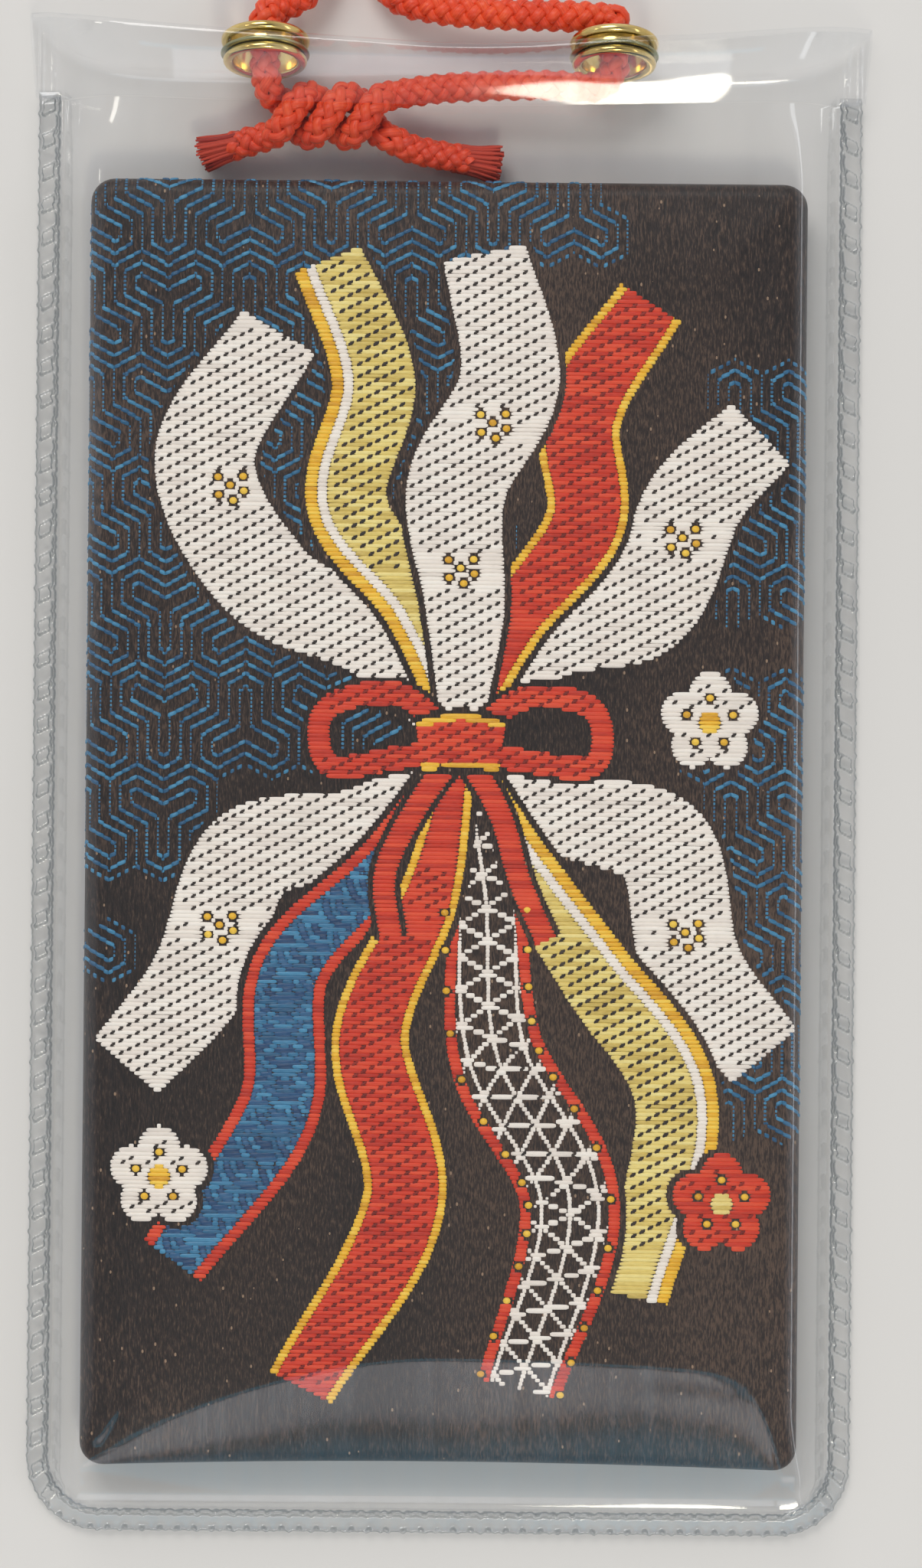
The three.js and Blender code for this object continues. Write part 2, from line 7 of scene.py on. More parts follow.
import bpy
import numpy as np
from mathutils import Matrix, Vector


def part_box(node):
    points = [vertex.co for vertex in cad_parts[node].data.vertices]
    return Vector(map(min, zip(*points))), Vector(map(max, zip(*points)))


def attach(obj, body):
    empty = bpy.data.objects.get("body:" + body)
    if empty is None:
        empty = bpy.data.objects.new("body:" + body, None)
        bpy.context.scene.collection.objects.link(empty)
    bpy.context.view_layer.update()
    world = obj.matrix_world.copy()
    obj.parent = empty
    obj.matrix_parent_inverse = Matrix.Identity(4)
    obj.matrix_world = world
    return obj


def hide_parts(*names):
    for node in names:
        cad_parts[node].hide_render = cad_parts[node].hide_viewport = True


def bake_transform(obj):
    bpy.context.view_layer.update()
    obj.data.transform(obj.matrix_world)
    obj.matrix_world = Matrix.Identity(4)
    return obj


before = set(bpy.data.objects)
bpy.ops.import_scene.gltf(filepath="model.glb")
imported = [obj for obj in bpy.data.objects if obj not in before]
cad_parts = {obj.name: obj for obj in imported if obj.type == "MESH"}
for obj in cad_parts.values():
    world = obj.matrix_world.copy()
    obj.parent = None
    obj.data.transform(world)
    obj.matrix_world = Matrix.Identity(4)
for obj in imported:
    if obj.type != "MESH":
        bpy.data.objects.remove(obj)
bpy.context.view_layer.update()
scene = bpy.context.scene
scene.view_settings.view_transform = "Standard"
rng = np.random.default_rng(12)

MM = 0.001

# Sleeve. Its main sizes are those of the part's source.
HALF_WIDTH = 25.75
BOTTOM_Y = -47.25
WELD_WIDTH = 1.35
WELD_CORNER = 4.6
WELD_TOP = 42.8
WELD_STEP = 0.1
WELD_END_Z = 0.06
WELD_BACK_Z = 0.02
RIB_PITCH = 2.03
DOT_PITCH = 1.09
MOUTH_Y = 42.05
MOUTH_SAG = 0.62
MOUTH_DEPTH = 5.0
MOUTH_POWER = 12
SHEET = 0.3
PANEL_HALF = 23.95
PANEL_BOTTOM = -45.45
PANEL_CORNER = 2.35
PANEL_LOW_Z = 0.85
PANEL_OVER_Z = 4.45
PANEL_SIDE = 2.8
PANEL_SIDE_NARROWS = 1.2
PANEL_LAP = 0.55
PANEL_LENGTH = 88
FOOT_SLOPE = 0.046
FOOT_REACH = 1.15
ARCH_TOP = -35.9
ARCH_STEEP = 0.067
ARCH_EASE = 0.047
ARCH_LOWEST = 7.0
# Each part of the arch's fall: its side, depth, reach and power.
ARCH_SIDES = ((-1, 6.3, 21.4, 1.9), (1, 0.7, 19, 2), (1, 5.4, 21.05, 16))
CREASE_FOOT = (-21.3, -41.5)
CREASE_RUN = (1.7, 3.0)
CREASE_RISE = 0.04
CREASE_WIDTH = 0.3
FOLD_TILT = math.radians(15)
FOLD_Y = 45.08
FOLD_Z = 3.5
FOLD_FRONT_Z = 6.3
FOLD_HALF = 25.9
FOLD_POWER = 10
EAR_Z = 0.85
EAR_BEND = 0.32
EAR_BEADS = (25.6, 24.8)
TOP_BEND = 0.5
BACK_BEND = 1.2
BACK_HALF = 24.3
BACK_BOTTOM = -45.6
EYELETS = {"left": -11.5, "right": 10.1}
EYELET_SEGMENTS = 72
EYELET_HOLE = 2.35
EYELET_AXIS = np.array([0, math.cos(FOLD_TILT), -math.sin(FOLD_TILT)])

# Charm.
CHARM_HALF = 22.25
CHARM_LOW = -42.85
CHARM_HIGH = 37.05
CHARM_CORNER = 1.5
CHARM_MID = (CHARM_LOW + CHARM_HIGH) / 2
CHARM_RISE = (CHARM_HIGH - CHARM_LOW) / 2
SEAM_Z = 2.3
EDGE = 1.05
CROWN = 0.35
FOOT_BOW = 0.42
LIP_RISE = 0.3
# The cloth's turned-in lip, as (inset, rise) from the seam.
LIP = ((1.6, 0.24), (0.7, 0.22), (0.2, 0.24))

# Cord.
CORD = 2.1
CORD_LAY = 3.9
CORD_STRANDS = 8
CORD_STEP = 0.13
INNER_CORD = 1.98

# The braid's strands, as parts of the cord's diameter, and the points around each.
STRAND_PATH = 0.30
STRAND_WEAVE = 0.07
STRAND_THICK = 0.125
STRAND_WIDE = 0.170
STRAND_RING = 8

# The knot's middle, and how its two strands twist.
KNOT_PLACE = (-7.5, 41.1, 2.5)
KNOT_LENGTH = 7.2
KNOT_TURNS = 1.5
KNOT_RISE = 1.25
KNOT_DEPTH = 1.15

# The cut ends' loose yarns.
TUFT_YARNS = 80
TUFT_YARN = 0.14
TUFT_LENGTH = 2.0
TUFT_FLARE = 0.42
TUFT_LOWEST = 0.45
YARN_RING = 5
GOLDEN_ANGLE = 2.39996


def smoothstep(low, high, value):
    t = np.clip((np.asarray(value, float) - low) / (high - low), 0, 1)
    return t * t * (3 - 2 * t)


def unit(vectors):
    return vectors / np.linalg.norm(vectors, axis=-1, keepdims=True)


def distance_along(line):
    """How far each point of a line lies from its start."""
    return np.concatenate([[0], np.cumsum(np.linalg.norm(np.diff(line, axis=0), axis=1))])


def resample(line, step):
    """The line again, with points at even distances of about step."""
    along = distance_along(line)
    count = max(2, int(round(along[-1] / step)) + 1)
    even = np.linspace(0, along[-1], count)
    return np.stack([np.interp(even, along, line[:, i]) for i in range(line.shape[1])], axis=1)


def between(t, start, stop, a, b):
    """A mix that goes from a to b as t goes from start to stop."""
    return (stop - t) / (stop - start) * a + (t - start) / (stop - start) * b


def curve(points, step):
    """Points along a centripetal Catmull-Rom curve through the given ones."""
    points = np.asarray(points, float)
    ends = np.vstack([2 * points[0] - points[1], points, 2 * points[-1] - points[-2]])
    spans = []
    for p in zip(ends, ends[1:], ends[2:], ends[3:]):
        k = np.cumsum([0] + [math.sqrt(np.linalg.norm(b - a)) for a, b in zip(p, p[1:])])
        t = np.linspace(k[1], k[2], 24, endpoint=False)[:, None]
        lines = [between(t, k[i], k[i + 1], p[i], p[i + 1]) for i in range(3)]
        bends = [between(t, k[i], k[i + 2], lines[i], lines[i + 1]) for i in range(2)]
        spans.append(between(t, k[1], k[2], *bends))
    return resample(np.vstack(spans + [points[-1:]]), step)


def frames(line):
    """Tangent, normal and side at each point, turning as little as possible along the line."""
    tangent = unit(np.gradient(line, axis=0))
    normal = np.zeros_like(line)
    first = np.cross(tangent[0], (0.0, 0.0, 1.0))
    if np.linalg.norm(first) < 1e-3:
        first = np.cross(tangent[0], (1.0, 0.0, 0.0))
    normal[0] = unit(first)
    for i in range(1, len(line)):
        turned = normal[i - 1] - tangent[i] * np.dot(normal[i - 1], tangent[i])
        normal[i] = unit(turned)
    return tangent, normal, np.cross(tangent, normal)


def grid_faces(rows, columns, closed=False):
    """Quads of a grid of points stored row by row; closed joins the last column to the first."""
    index = np.arange(rows * columns).reshape(rows, columns)
    if closed:
        index = np.hstack([index, index[:, :1]])
    corners = (index[:-1, :-1], index[:-1, 1:], index[1:, 1:], index[1:, :-1])
    return np.stack([c.ravel() for c in corners], axis=1)


def repeated(block, count, points):
    """The faces of many like shapes, each with the given number of points."""
    return (block[None] + (np.arange(count) * points)[:, None, None]).reshape(-1, 4)


def full_turn(count):
    """Even angles once around."""
    return 2 * math.pi * np.arange(count) / count


def shell(front, back, faces):
    """Points and faces of a closed shell: two layers of points, joined along the border of their faces."""
    layer = len(front)
    edges = np.concatenate([faces[:, [i, (i + 1) % 4]] for i in range(4)])
    known = set(map(tuple, edges.tolist()))
    rim = np.array([[b, a, a + layer, b + layer] for a, b in known if (b, a) not in known])
    return np.concatenate([front, back]), np.concatenate([faces, faces[:, ::-1] + layer, rim])


def sheet(grid, thickness, keep=None):
    """A closed sheet about a grid of middle points, without the faces that aren't kept."""
    normal = unit(np.cross(np.gradient(grid, axis=1), np.gradient(grid, axis=0)))
    faces = grid_faces(*grid.shape[:2])
    if keep is not None:
        faces = faces[keep.ravel()]
    front = (grid + normal * thickness / 2).reshape(-1, 3)
    back = (grid - normal * thickness / 2).reshape(-1, 3)
    return shell(front, back, faces)


def tube(centre, out, across, thick, wide, ring):
    """An oval tube about a line, with its half widths along two directions."""
    turn = full_turn(ring)[:, None]
    section = thick * np.cos(turn) * out[..., None, :] + wide * np.sin(turn) * across[..., None, :]
    return (centre[:, None, :] + section).reshape(-1, 3), grid_faces(len(centre), ring, True)


def joined(shapes):
    """Several (points, faces, coords) as one."""
    points, faces, coords = zip(*shapes)
    before = np.cumsum([0] + [len(p) for p in points[:-1]])
    faces = [f + count for f, count in zip(faces, before)]
    return np.concatenate(points), np.concatenate(faces), np.concatenate(coords)


def add_piece(name, points, faces, materials, body, coords=None, sharp=None, uses=None):
    """A mesh object that rides on a body. Coords are the yarn coordinates of its points."""
    mesh = bpy.data.meshes.new(name)
    mesh.from_pydata((np.asarray(points) * MM).tolist(), [], [list(f) for f in faces])
    for material in materials:
        mesh.materials.append(material)
    if uses is not None:
        mesh.polygons.foreach_set("material_index", uses)
    if coords is not None:
        corner = np.zeros(len(mesh.loops), np.int32)
        mesh.loops.foreach_get("vertex_index", corner)
        layer = mesh.uv_layers.new(name="Yarn")
        layer.data.foreach_set("uv", np.asarray(coords, np.float32)[corner].ravel())
    mesh.shade_smooth()
    if sharp is not None:
        mesh.set_sharp_from_angle(angle=math.radians(sharp))
    piece = bpy.data.objects.new(name, mesh)
    scene.collection.objects.link(piece)
    if body is not None:
        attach(piece, body)
    return piece


class Shader:
    """A material's node tree, with short calls for making and joining nodes."""

    def __init__(self, name):
        self.material = bpy.data.materials.new(name)
        self.material.use_nodes = True
        self.nodes = self.material.node_tree.nodes
        self.links = self.material.node_tree.links
        self.nodes.clear()
        self.output = self.nodes.new("ShaderNodeOutputMaterial")

    def node(self, kind, settings=None, **sockets):
        node = self.nodes.new("ShaderNode" + kind)
        for key, value in (settings or {}).items():
            setattr(node, key, value)
        for key, value in sockets.items():
            self.feed(node, key.replace("_", " "), value)
        return node

    def feed(self, node, socket, value):
        target = node.inputs[int(socket)] if socket.isdigit() else node.inputs[socket]
        if hasattr(value, "links"):
            self.links.new(value, target)
        else:
            target.default_value = value

    def math(self, operation, first, second=0.0):
        node = self.node("Math", {"operation": operation})
        self.feed(node, "0", first)
        self.feed(node, "1", second)
        return node.outputs[0]

    def scaled(self, value, factor, offset):
        return self.math("ADD", self.math("MULTIPLY", value, factor), offset)

    def weighed(self, first, share, second):
        """A mean of two values, of which the first has the given share."""
        return self.math("ADD", self.math("MULTIPLY", first, share), self.math("MULTIPLY", second, 1 - share))

    def ramp(self, value, stops):
        node = self.node("ValToRGB")
        band = node.color_ramp.elements
        while len(band) < len(stops):
            band.new(0.5)
        for element, (position, colour) in zip(band, stops):
            element.position = position
            element.color = (*colour, 1)
        self.feed(node, "Fac", value)
        return node.outputs["Color"]

    def place(self, scale, turn=0.0):
        """Coordinates in the part's frame, scaled per axis after a turn about Z."""
        where = self.node("TexCoord").outputs["Object"]
        mapping = self.node("Mapping", Vector=where)
        mapping.inputs["Rotation"].default_value = (0, 0, turn)
        mapping.inputs["Scale"].default_value = scale
        return mapping.outputs["Vector"]

    def noise(self, vector, detail=2.0, rough=0.5):
        node = self.node("TexNoise", Vector=vector, Scale=1.0, Detail=detail, Roughness=rough)
        return node.outputs["Fac"]

    def grain(self, scale, detail=2.0, rough=0.5, turn=0.0):
        """Noise in the part's frame, finer along the axes with a larger scale."""
        return self.noise(self.place(scale, turn), detail, rough)

    def bump(self, height, strength, distance):
        node = self.node("Bump", Height=height, Strength=strength, Distance=distance)
        return node.outputs["Normal"]

    def finish(self, surface):
        self.links.new(surface.outputs[0], self.output.inputs["Surface"])
        return self.material

    def coat(self, **sockets):
        """Ends the material in one Principled shader."""
        return self.finish(self.node("BsdfPrincipled", **sockets))


def vinyl_material(name, haze, tint, painted_steep_shade, start, full):
    """Clear soft vinyl: see-through, darker where it stands steep (painted shade in place of the dark edges
    that bent light gives), with a gloss and a faint haze.
    """
    shader = Shader(name)
    normal = shader.bump(shader.grain((90, 60, 90), 1.0), 0.1, 0.0003)
    fresnel = shader.node("Fresnel", IOR=1.52, Normal=normal).outputs[0]
    geometry = shader.node("NewGeometry")
    front = shader.math("SUBTRACT", 1.0, geometry.outputs["Backfacing"])
    scuff = shader.grain((900, 70, 300), 5.0, 0.7, 0.4)
    veil = shader.math("MULTIPLY", shader.math("POWER", scuff, 3.0), haze)
    gloss = shader.math("ADD", shader.math("MULTIPLY", fresnel, front), veil)
    # A darker see-through tint on steep facets: painted shade in place of the dark edges that bent light
    # gives there.
    upright = shader.node("SeparateXYZ", Vector=geometry.outputs["Normal"]).outputs["Z"]
    slope = shader.math("SUBTRACT", 1.0, shader.math("ABSOLUTE", upright))
    clear = shader.node("BsdfTransparent", Color=shader.ramp(slope, [(start, tint), (full, painted_steep_shade)]))
    surface = shader.node(
        "BsdfPrincipled",
        Base_Color=(0.95, 0.97, 1.0, 1),
        Metallic=1.0,
        Roughness=shader.scaled(scuff, 0.06, 0.03),
        Normal=normal,
    )
    mix = shader.node("MixShader", Fac=gloss)
    shader.feed(mix, "1", clear.outputs[0])
    shader.feed(mix, "2", surface.outputs[0])
    return shader.finish(mix)


def yarn_material(name, shade, colour, light, roughness):
    """Dyed yarn: the colour varies from float to float and along each of them."""
    shader = Shader(name)
    coords = shader.node("UVMap", {"uv_map": "Yarn"}).outputs["UV"]
    own = shader.node("SeparateXYZ", Vector=coords).outputs["Y"]
    fibre = shader.grain((2500, 9000, 4000))
    mixed = shader.weighed(own, 0.6, fibre)
    return shader.coat(
        Base_Color=shader.ramp(mixed, [(0.1, shade), (0.45, colour), (0.9, light)]),
        Roughness=shader.scaled(fibre, 0.2, roughness - 0.1),
        Sheen_Weight=0.15,
        Sheen_Roughness=0.4,
        Normal=shader.bump(fibre, 0.35, 0.00005),
    )


def ground_material(name):
    """Dark satin ground: close steep warp lines, tiny bright specks and broad changes of tone."""
    shader = Shader(name)
    lean = math.radians(8)
    warp = shader.grain((9000, 1700, 2000), 2.0, 0.6, lean)
    fine = shader.grain((16000, 4000, 4000), 1.0, turn=lean)
    broad = shader.grain((70, 35, 60))
    lines = shader.weighed(warp, 0.75, fine)
    lit = shader.math("ADD", lines, shader.math("MULTIPLY", shader.math("SUBTRACT", broad, 0.5), 0.35))
    tone = shader.ramp(
        lit,
        [(0.36, (0.006, 0.0034, 0.003)), (0.5, (0.025, 0.0142, 0.011)), (0.66, (0.098, 0.060, 0.041))],
    )
    spots = shader.node("TexVoronoi", {"feature": "F1"}, Vector=shader.place((1500, 900, 900)), Scale=1.0)
    chance = shader.node("SeparateColor", Color=spots.outputs["Color"]).outputs["Red"]
    dot = shader.math("LESS_THAN", spots.outputs["Distance"], 0.10)
    speck = shader.math("MULTIPLY", dot, shader.math("GREATER_THAN", chance, 0.40))
    colour = shader.node("MixRGB", Fac=speck, Color1=tone, Color2=(0.30, 0.20, 0.13, 1))
    return shader.coat(
        Base_Color=colour.outputs[0],
        Roughness=shader.scaled(lines, 0.25, 0.36),
        Specular_IOR_Level=0.45,
        Sheen_Weight=0.12,
        Normal=shader.bump(lines, 0.6, 0.00008),
    )


def cord_material():
    """Glossy dyed cord: fine filaments along each strand, darker in the valleys."""
    shader = Shader("red_cord")
    coords = shader.node("UVMap", {"uv_map": "Yarn"}).outputs["UV"]
    stretch = shader.node("Mapping", Vector=coords)
    stretch.inputs["Scale"].default_value = (1.2, 26.0, 1.0)
    filament = shader.noise(stretch.outputs["Vector"], 2.0, 0.6)
    blotch = shader.grain((350, 350, 350))
    tone = shader.ramp(
        shader.weighed(filament, 0.65, blotch),
        [(0.28, (0.46, 0.018, 0.006)), (0.5, (0.76, 0.055, 0.012)), (0.75, (0.90, 0.14, 0.035))],
    )
    return shader.coat(
        Base_Color=tone,
        Roughness=shader.scaled(filament, 0.25, 0.30),
        Specular_IOR_Level=0.5,
        Sheen_Weight=0.25,
        Sheen_Tint=(1.0, 0.45, 0.25, 1),
        Normal=shader.bump(filament, 0.55, 0.00006),
    )


def brass_material(name, dark, colour, light, roughness):
    """Plated brass: polished, with faint turning marks, small tarnish and soft smears."""
    shader = Shader(name)
    smear = shader.grain((420, 420, 420), 3.0)
    marks = shader.grain((900, 6000, 900))
    return shader.coat(
        Base_Color=shader.ramp(smear, [(0.3, dark), (0.55, colour), (0.8, light)]),
        Metallic=1.0,
        Roughness=shader.scaled(smear, 0.18, roughness),
        Normal=shader.bump(marks, 0.12, 0.00003),
    )


def plain_material(name, dark, light, grain, roughness):
    """A dull sheet material such as card, paper, wood or wadding, with its grain."""
    shader = Shader(name)
    streak = shader.grain(grain, 4.0, 0.6)
    tone = shader.ramp(streak, [(0.3, dark), (0.7, light)])
    return shader.coat(Base_Color=tone, Roughness=roughness, Normal=shader.bump(streak, 0.4, 0.0001))


# Both vinyls darken on steep facets as painted shade; the weld's strong dark steep tint is painted shade that
# makes its embossing show.
VINYL = vinyl_material("clear_vinyl", 0.06, (0.997, 0.997, 0.997), (0.965, 0.968, 0.970), 0.05, 0.75)
WELDED = vinyl_material("welded_vinyl", 0.25, (0.982, 0.983, 0.984), (0.50, 0.53, 0.55), 0.05, 0.62)
GROUND = ground_material("brocade_ground")
WHITE = yarn_material("white_yarn", (0.78, 0.71, 0.65), (0.893, 0.82, 0.748), (0.945, 0.895, 0.83), 0.5)
PALE_GOLD = yarn_material("pale_gold_yarn", (0.52, 0.37, 0.08), (0.78, 0.61, 0.175), (0.91, 0.79, 0.33), 0.42)
DEEP_GOLD = yarn_material("deep_gold_yarn", (0.62, 0.29, 0.012), (0.90, 0.52, 0.03), (0.96, 0.68, 0.10), 0.42)
RED = yarn_material("red_yarn", (0.42, 0.018, 0.006), (0.66, 0.04, 0.012), (0.80, 0.09, 0.03), 0.5)
TEAL = yarn_material("teal_yarn", (0.010, 0.062, 0.15), (0.025, 0.145, 0.285), (0.075, 0.31, 0.52), 0.4)
BLUE = yarn_material("blue_yarn", (0.008, 0.035, 0.10), (0.015, 0.075, 0.19), (0.04, 0.15, 0.30), 0.42)
TIE = yarn_material("binding_yarn", (0.012, 0.008, 0.007), (0.022, 0.015, 0.012), (0.05, 0.035, 0.028), 0.6)
RED_TIE = yarn_material(
    "red_binding_yarn", (0.16, 0.008, 0.004), (0.22, 0.012, 0.006), (0.30, 0.02, 0.01), 0.6
)
THREAD = yarn_material("sewing_thread", (0.02, 0.012, 0.01), (0.045, 0.028, 0.022), (0.09, 0.06, 0.045), 0.6)
CORD_RED = cord_material()
# The tufts' darker red is painted shade: the loose yarns at the cord's cut ends lie in shadow.
TUFT_PAINTED_SHADE = yarn_material("cord_tuft_painted_shade", (0.20, 0.010, 0.006), (0.33, 0.018, 0.010), (0.50, 0.045, 0.020), 0.7)
BRASS = brass_material("brass", (0.55, 0.38, 0.12), (0.83, 0.62, 0.24), (0.90, 0.73, 0.36), 0.10)
WASHER = brass_material("dull_brass", (0.26, 0.25, 0.13), (0.42, 0.41, 0.24), (0.56, 0.53, 0.34), 0.20)
WADDING = plain_material("wadding", (0.70, 0.68, 0.63), (0.86, 0.84, 0.79), (900, 900, 900), 0.9)
CARD = plain_material("card", (0.42, 0.35, 0.24), (0.55, 0.47, 0.34), (600, 1800, 600), 0.85)
WOOD = plain_material("wood", (0.56, 0.38, 0.20), (0.74, 0.55, 0.33), (1500, 60, 300), 0.6)
WASHI = plain_material("washi", (0.80, 0.78, 0.72), (0.90, 0.88, 0.83), (500, 150, 500), 0.85)


# The photograph's view.
SENSOR = 36
LENS = 111.4
CAMERA_PLACE = (1.05, -0.35, 304)
CAMERA_TURN = math.radians(0.55)

# See-through faces that a ray may pass on its way.
CLEAR_LAYERS = 40

FLOOR_HALF = 900
FLOOR_Z = -0.02

# The surroundings' colour from the horizon to straight overhead.
SKY = ((0.0, (0.72, 0.73, 0.75)), (0.85, (0.40, 0.41, 0.43)), (0.99, (0.10, 0.10, 0.11)))

# Each lamp's place and target, width and height, radiance and colour, then its shape and spin if need be.
MIDDLE = (0, 0, 0)
LAMPS = {
    "key": ((-150, 430, 470), MIDDLE, 320, 320, 5.8, (1.0, 0.97, 0.93)),
    "panel": ((0, -253, 631), MIDDLE, 300, 150, 1.55, (0.90, 0.94, 1.0)),
    "left": ((-430, 150, 400), MIDDLE, 60, 60, 9.0, (1.0, 0.94, 0.82)),
    "right": ((520, 30, 330), MIDDLE, 500, 70, 3.0, (0.97, 0.98, 1.0)),
    "front": ((60, -240, 395), (9.5, 42.5, 6), 136, 66, 18, (1.0, 0.93, 0.76), "ELLIPSE", 0.72),
    "card": ((0, -151, 600), (0, -41, 0), 520, 26, 0.8, (0.04, 0.66, 1.0)),
}


def add_camera():
    """Looks straight down, with room for the clear layers over the charm."""
    data = bpy.data.cameras.new("camera")
    data.sensor_width = SENSOR
    data.lens = LENS
    camera = bpy.data.objects.new("camera", data)
    camera.location = np.array(CAMERA_PLACE) * MM
    camera.rotation_euler = (0, 0, CAMERA_TURN)
    scene.collection.objects.link(camera)
    scene.camera = camera
    scene.cycles.transparent_max_bounces = CLEAR_LAYERS


def add_lamp(name, place, target, width, height, radiance, colour, shape="RECTANGLE", spin=0.0):
    """A flat lamp that shines from place towards target with an even radiance."""
    data = bpy.data.lights.new(name, "AREA")
    data.shape = shape
    data.size = width * MM
    data.size_y = height * MM
    area = data.size * data.size_y * (math.pi / 4 if shape == "ELLIPSE" else 1)
    data.energy = radiance * math.pi * area
    data.color = colour
    lamp = bpy.data.objects.new(name, data)
    lamp.location = np.array(place) * MM
    lamp.rotation_euler = look_along(np.array(target, float) - np.array(place, float), spin)
    scene.collection.objects.link(lamp)


def look_along(direction, spin):
    """Euler angles that turn a lamp's -Z axis to a direction, with a spin about it."""
    x, y, z = unit(direction)
    heading = Matrix.Rotation(math.atan2(-x, y), 4, "Z")
    tilt = Matrix.Rotation(math.acos(-z), 4, "X")
    return (heading @ tilt @ Matrix.Rotation(spin, 4, "Z")).to_euler()


def add_world():
    """Even studio surroundings, dimmer straight overhead where the flat vinyl would mirror them."""
    world = bpy.data.worlds.new("studio")
    world.use_nodes = True
    nodes, links = world.node_tree.nodes, world.node_tree.links
    height = nodes.new("ShaderNodeSeparateXYZ")
    links.new(nodes.new("ShaderNodeTexCoord").outputs["Generated"], height.inputs[0])
    ramp = nodes.new("ShaderNodeValToRGB")
    links.new(height.outputs["Z"], ramp.inputs["Fac"])
    links.new(ramp.outputs["Color"], nodes["Background"].inputs["Color"])
    ramp.color_ramp.elements.new(0.5)
    for element, (position, colour) in zip(ramp.color_ramp.elements, SKY):
        element.position = position
        element.color = (*colour, 1)
    scene.world = world


def add_studio():
    """A plain pale floor, the surroundings and the lamps."""
    corners = ((-1, -1), (1, -1), (1, 1), (-1, 1))
    points = [(x * FLOOR_HALF, y * FLOOR_HALF, FLOOR_Z) for x, y in corners]
    shader = Shader("floor")
    cloud = shader.grain((6, 6, 6), 3.0)
    tone = shader.ramp(cloud, [(0.3, (0.69, 0.677, 0.66)), (0.7, (0.73, 0.716, 0.70))])
    paper = shader.coat(Base_Color=tone, Roughness=0.8)
    floor = add_piece("floor", points, [(0, 1, 2, 3)], [paper], None)
    add_world()
    for name, lamp in LAMPS.items():
        add_lamp(name, *lamp)


def on_axis(x, height):
    """The point at a height on the axis of the eyelet at x."""
    return np.array([x, FOLD_Y, FOLD_Z]) + height * EYELET_AXIS


def knot_turn(sign):
    """One strand's way through the knot, where the two strands twist about each other."""
    t = np.linspace(0, 1, 19)
    angle = math.pi / 2 + sign * 2 * math.pi * KNOT_TURNS * t
    x = KNOT_PLACE[0] + sign * KNOT_LENGTH * (t - 0.5)
    y = KNOT_PLACE[1] + KNOT_RISE * np.sin(angle)
    return np.stack([x, y, KNOT_PLACE[2] + KNOT_DEPTH * np.cos(angle)], axis=1)


def loop_line(step):
    """The hanging loop, out of the left eyelet, round on the floor and back into the right one."""
    left, right = EYELETS["left"], EYELETS["right"]
    lie = CORD / 2
    ups = [(-7.6, 52), (-7.4, 58), (-9.8, 72), (-12.2, 86), (-12, 95), (-9.6, 100.4), (-5.6, 102.4)]
    downs = [(-1.6, 100.4), (0.8, 95), (1, 86), (-1.8, 72), (-4.6, 58), (-4.9, 51.8)]
    points = [on_axis(left, 0.9), on_axis(left, 2.2), (-10.7, 47.8, 2.3), (-8.9, 49.0, 1.7)]
    points += [(x, y, lie) for x, y in ups + downs]
    points += [(-3.6, 48.8, 1.5), (-1, 47.9, 2.1), (3, 47.5, 2.6), (6.8, 47.4, 2.75), (9.5, 47.25, 2.75)]
    points += [on_axis(right, 2.2), on_axis(right, 0.9)]
    return curve(points, step)


def end_lines(step):
    """The two cord ends, from inside their eyelets through the knot to their cuts."""
    left, right = ([on_axis(EYELETS[side], height) for height in (0.9, 0, -1.2)] for side in EYELETS)
    one = [*left, (-11.35, 42.85, 3.5), *knot_turn(1)]
    one += [(-2.6, 39.2, 2.1), (-0.6, 38.8, 1.7), (1.3, 38.5, 1.6)]
    two = [*right, (9.2, 42.95, 3.7), (6.2, 43.0, 3.4), (2.5, 42.95, 3.1), (-1, 42.75, 2.9), *knot_turn(-1)]
    two += [(-12.0, 39.65, 2.1), (-12.9, 39.4, 1.8), (-13.7, 39.2, 1.6)]
    return curve(one, step), curve(two, step)


def braid(line, diameter):
    """A round braid: half of the strands wind each way, and each goes over and under in turn."""
    _, normal, side = frames(line)
    along = distance_along(line)
    each_way = CORD_STRANDS // 2
    across_ring = np.abs(np.arange(STRAND_RING) / STRAND_RING - 0.5)
    strands = []
    for strand in range(CORD_STRANDS):
        turn = 1 if strand < each_way else -1
        angle = strand * 2 * math.pi / each_way + turn * 2 * math.pi * along / CORD_LAY
        radius = diameter * (STRAND_PATH + turn * STRAND_WEAVE * np.cos(each_way * angle))
        out = np.cos(angle)[:, None] * normal + np.sin(angle)[:, None] * side
        centre = line + radius[:, None] * out
        across = unit(np.cross(unit(np.gradient(centre, axis=0)), out))
        thick, wide = diameter * STRAND_THICK, diameter * STRAND_WIDE
        points, faces = tube(centre, out, across, thick, wide, STRAND_RING)
        coords = np.stack([np.repeat(along, STRAND_RING), np.tile(across_ring, len(line)) + strand], axis=1)
        strands.append((points, faces, coords))
    return joined(strands)


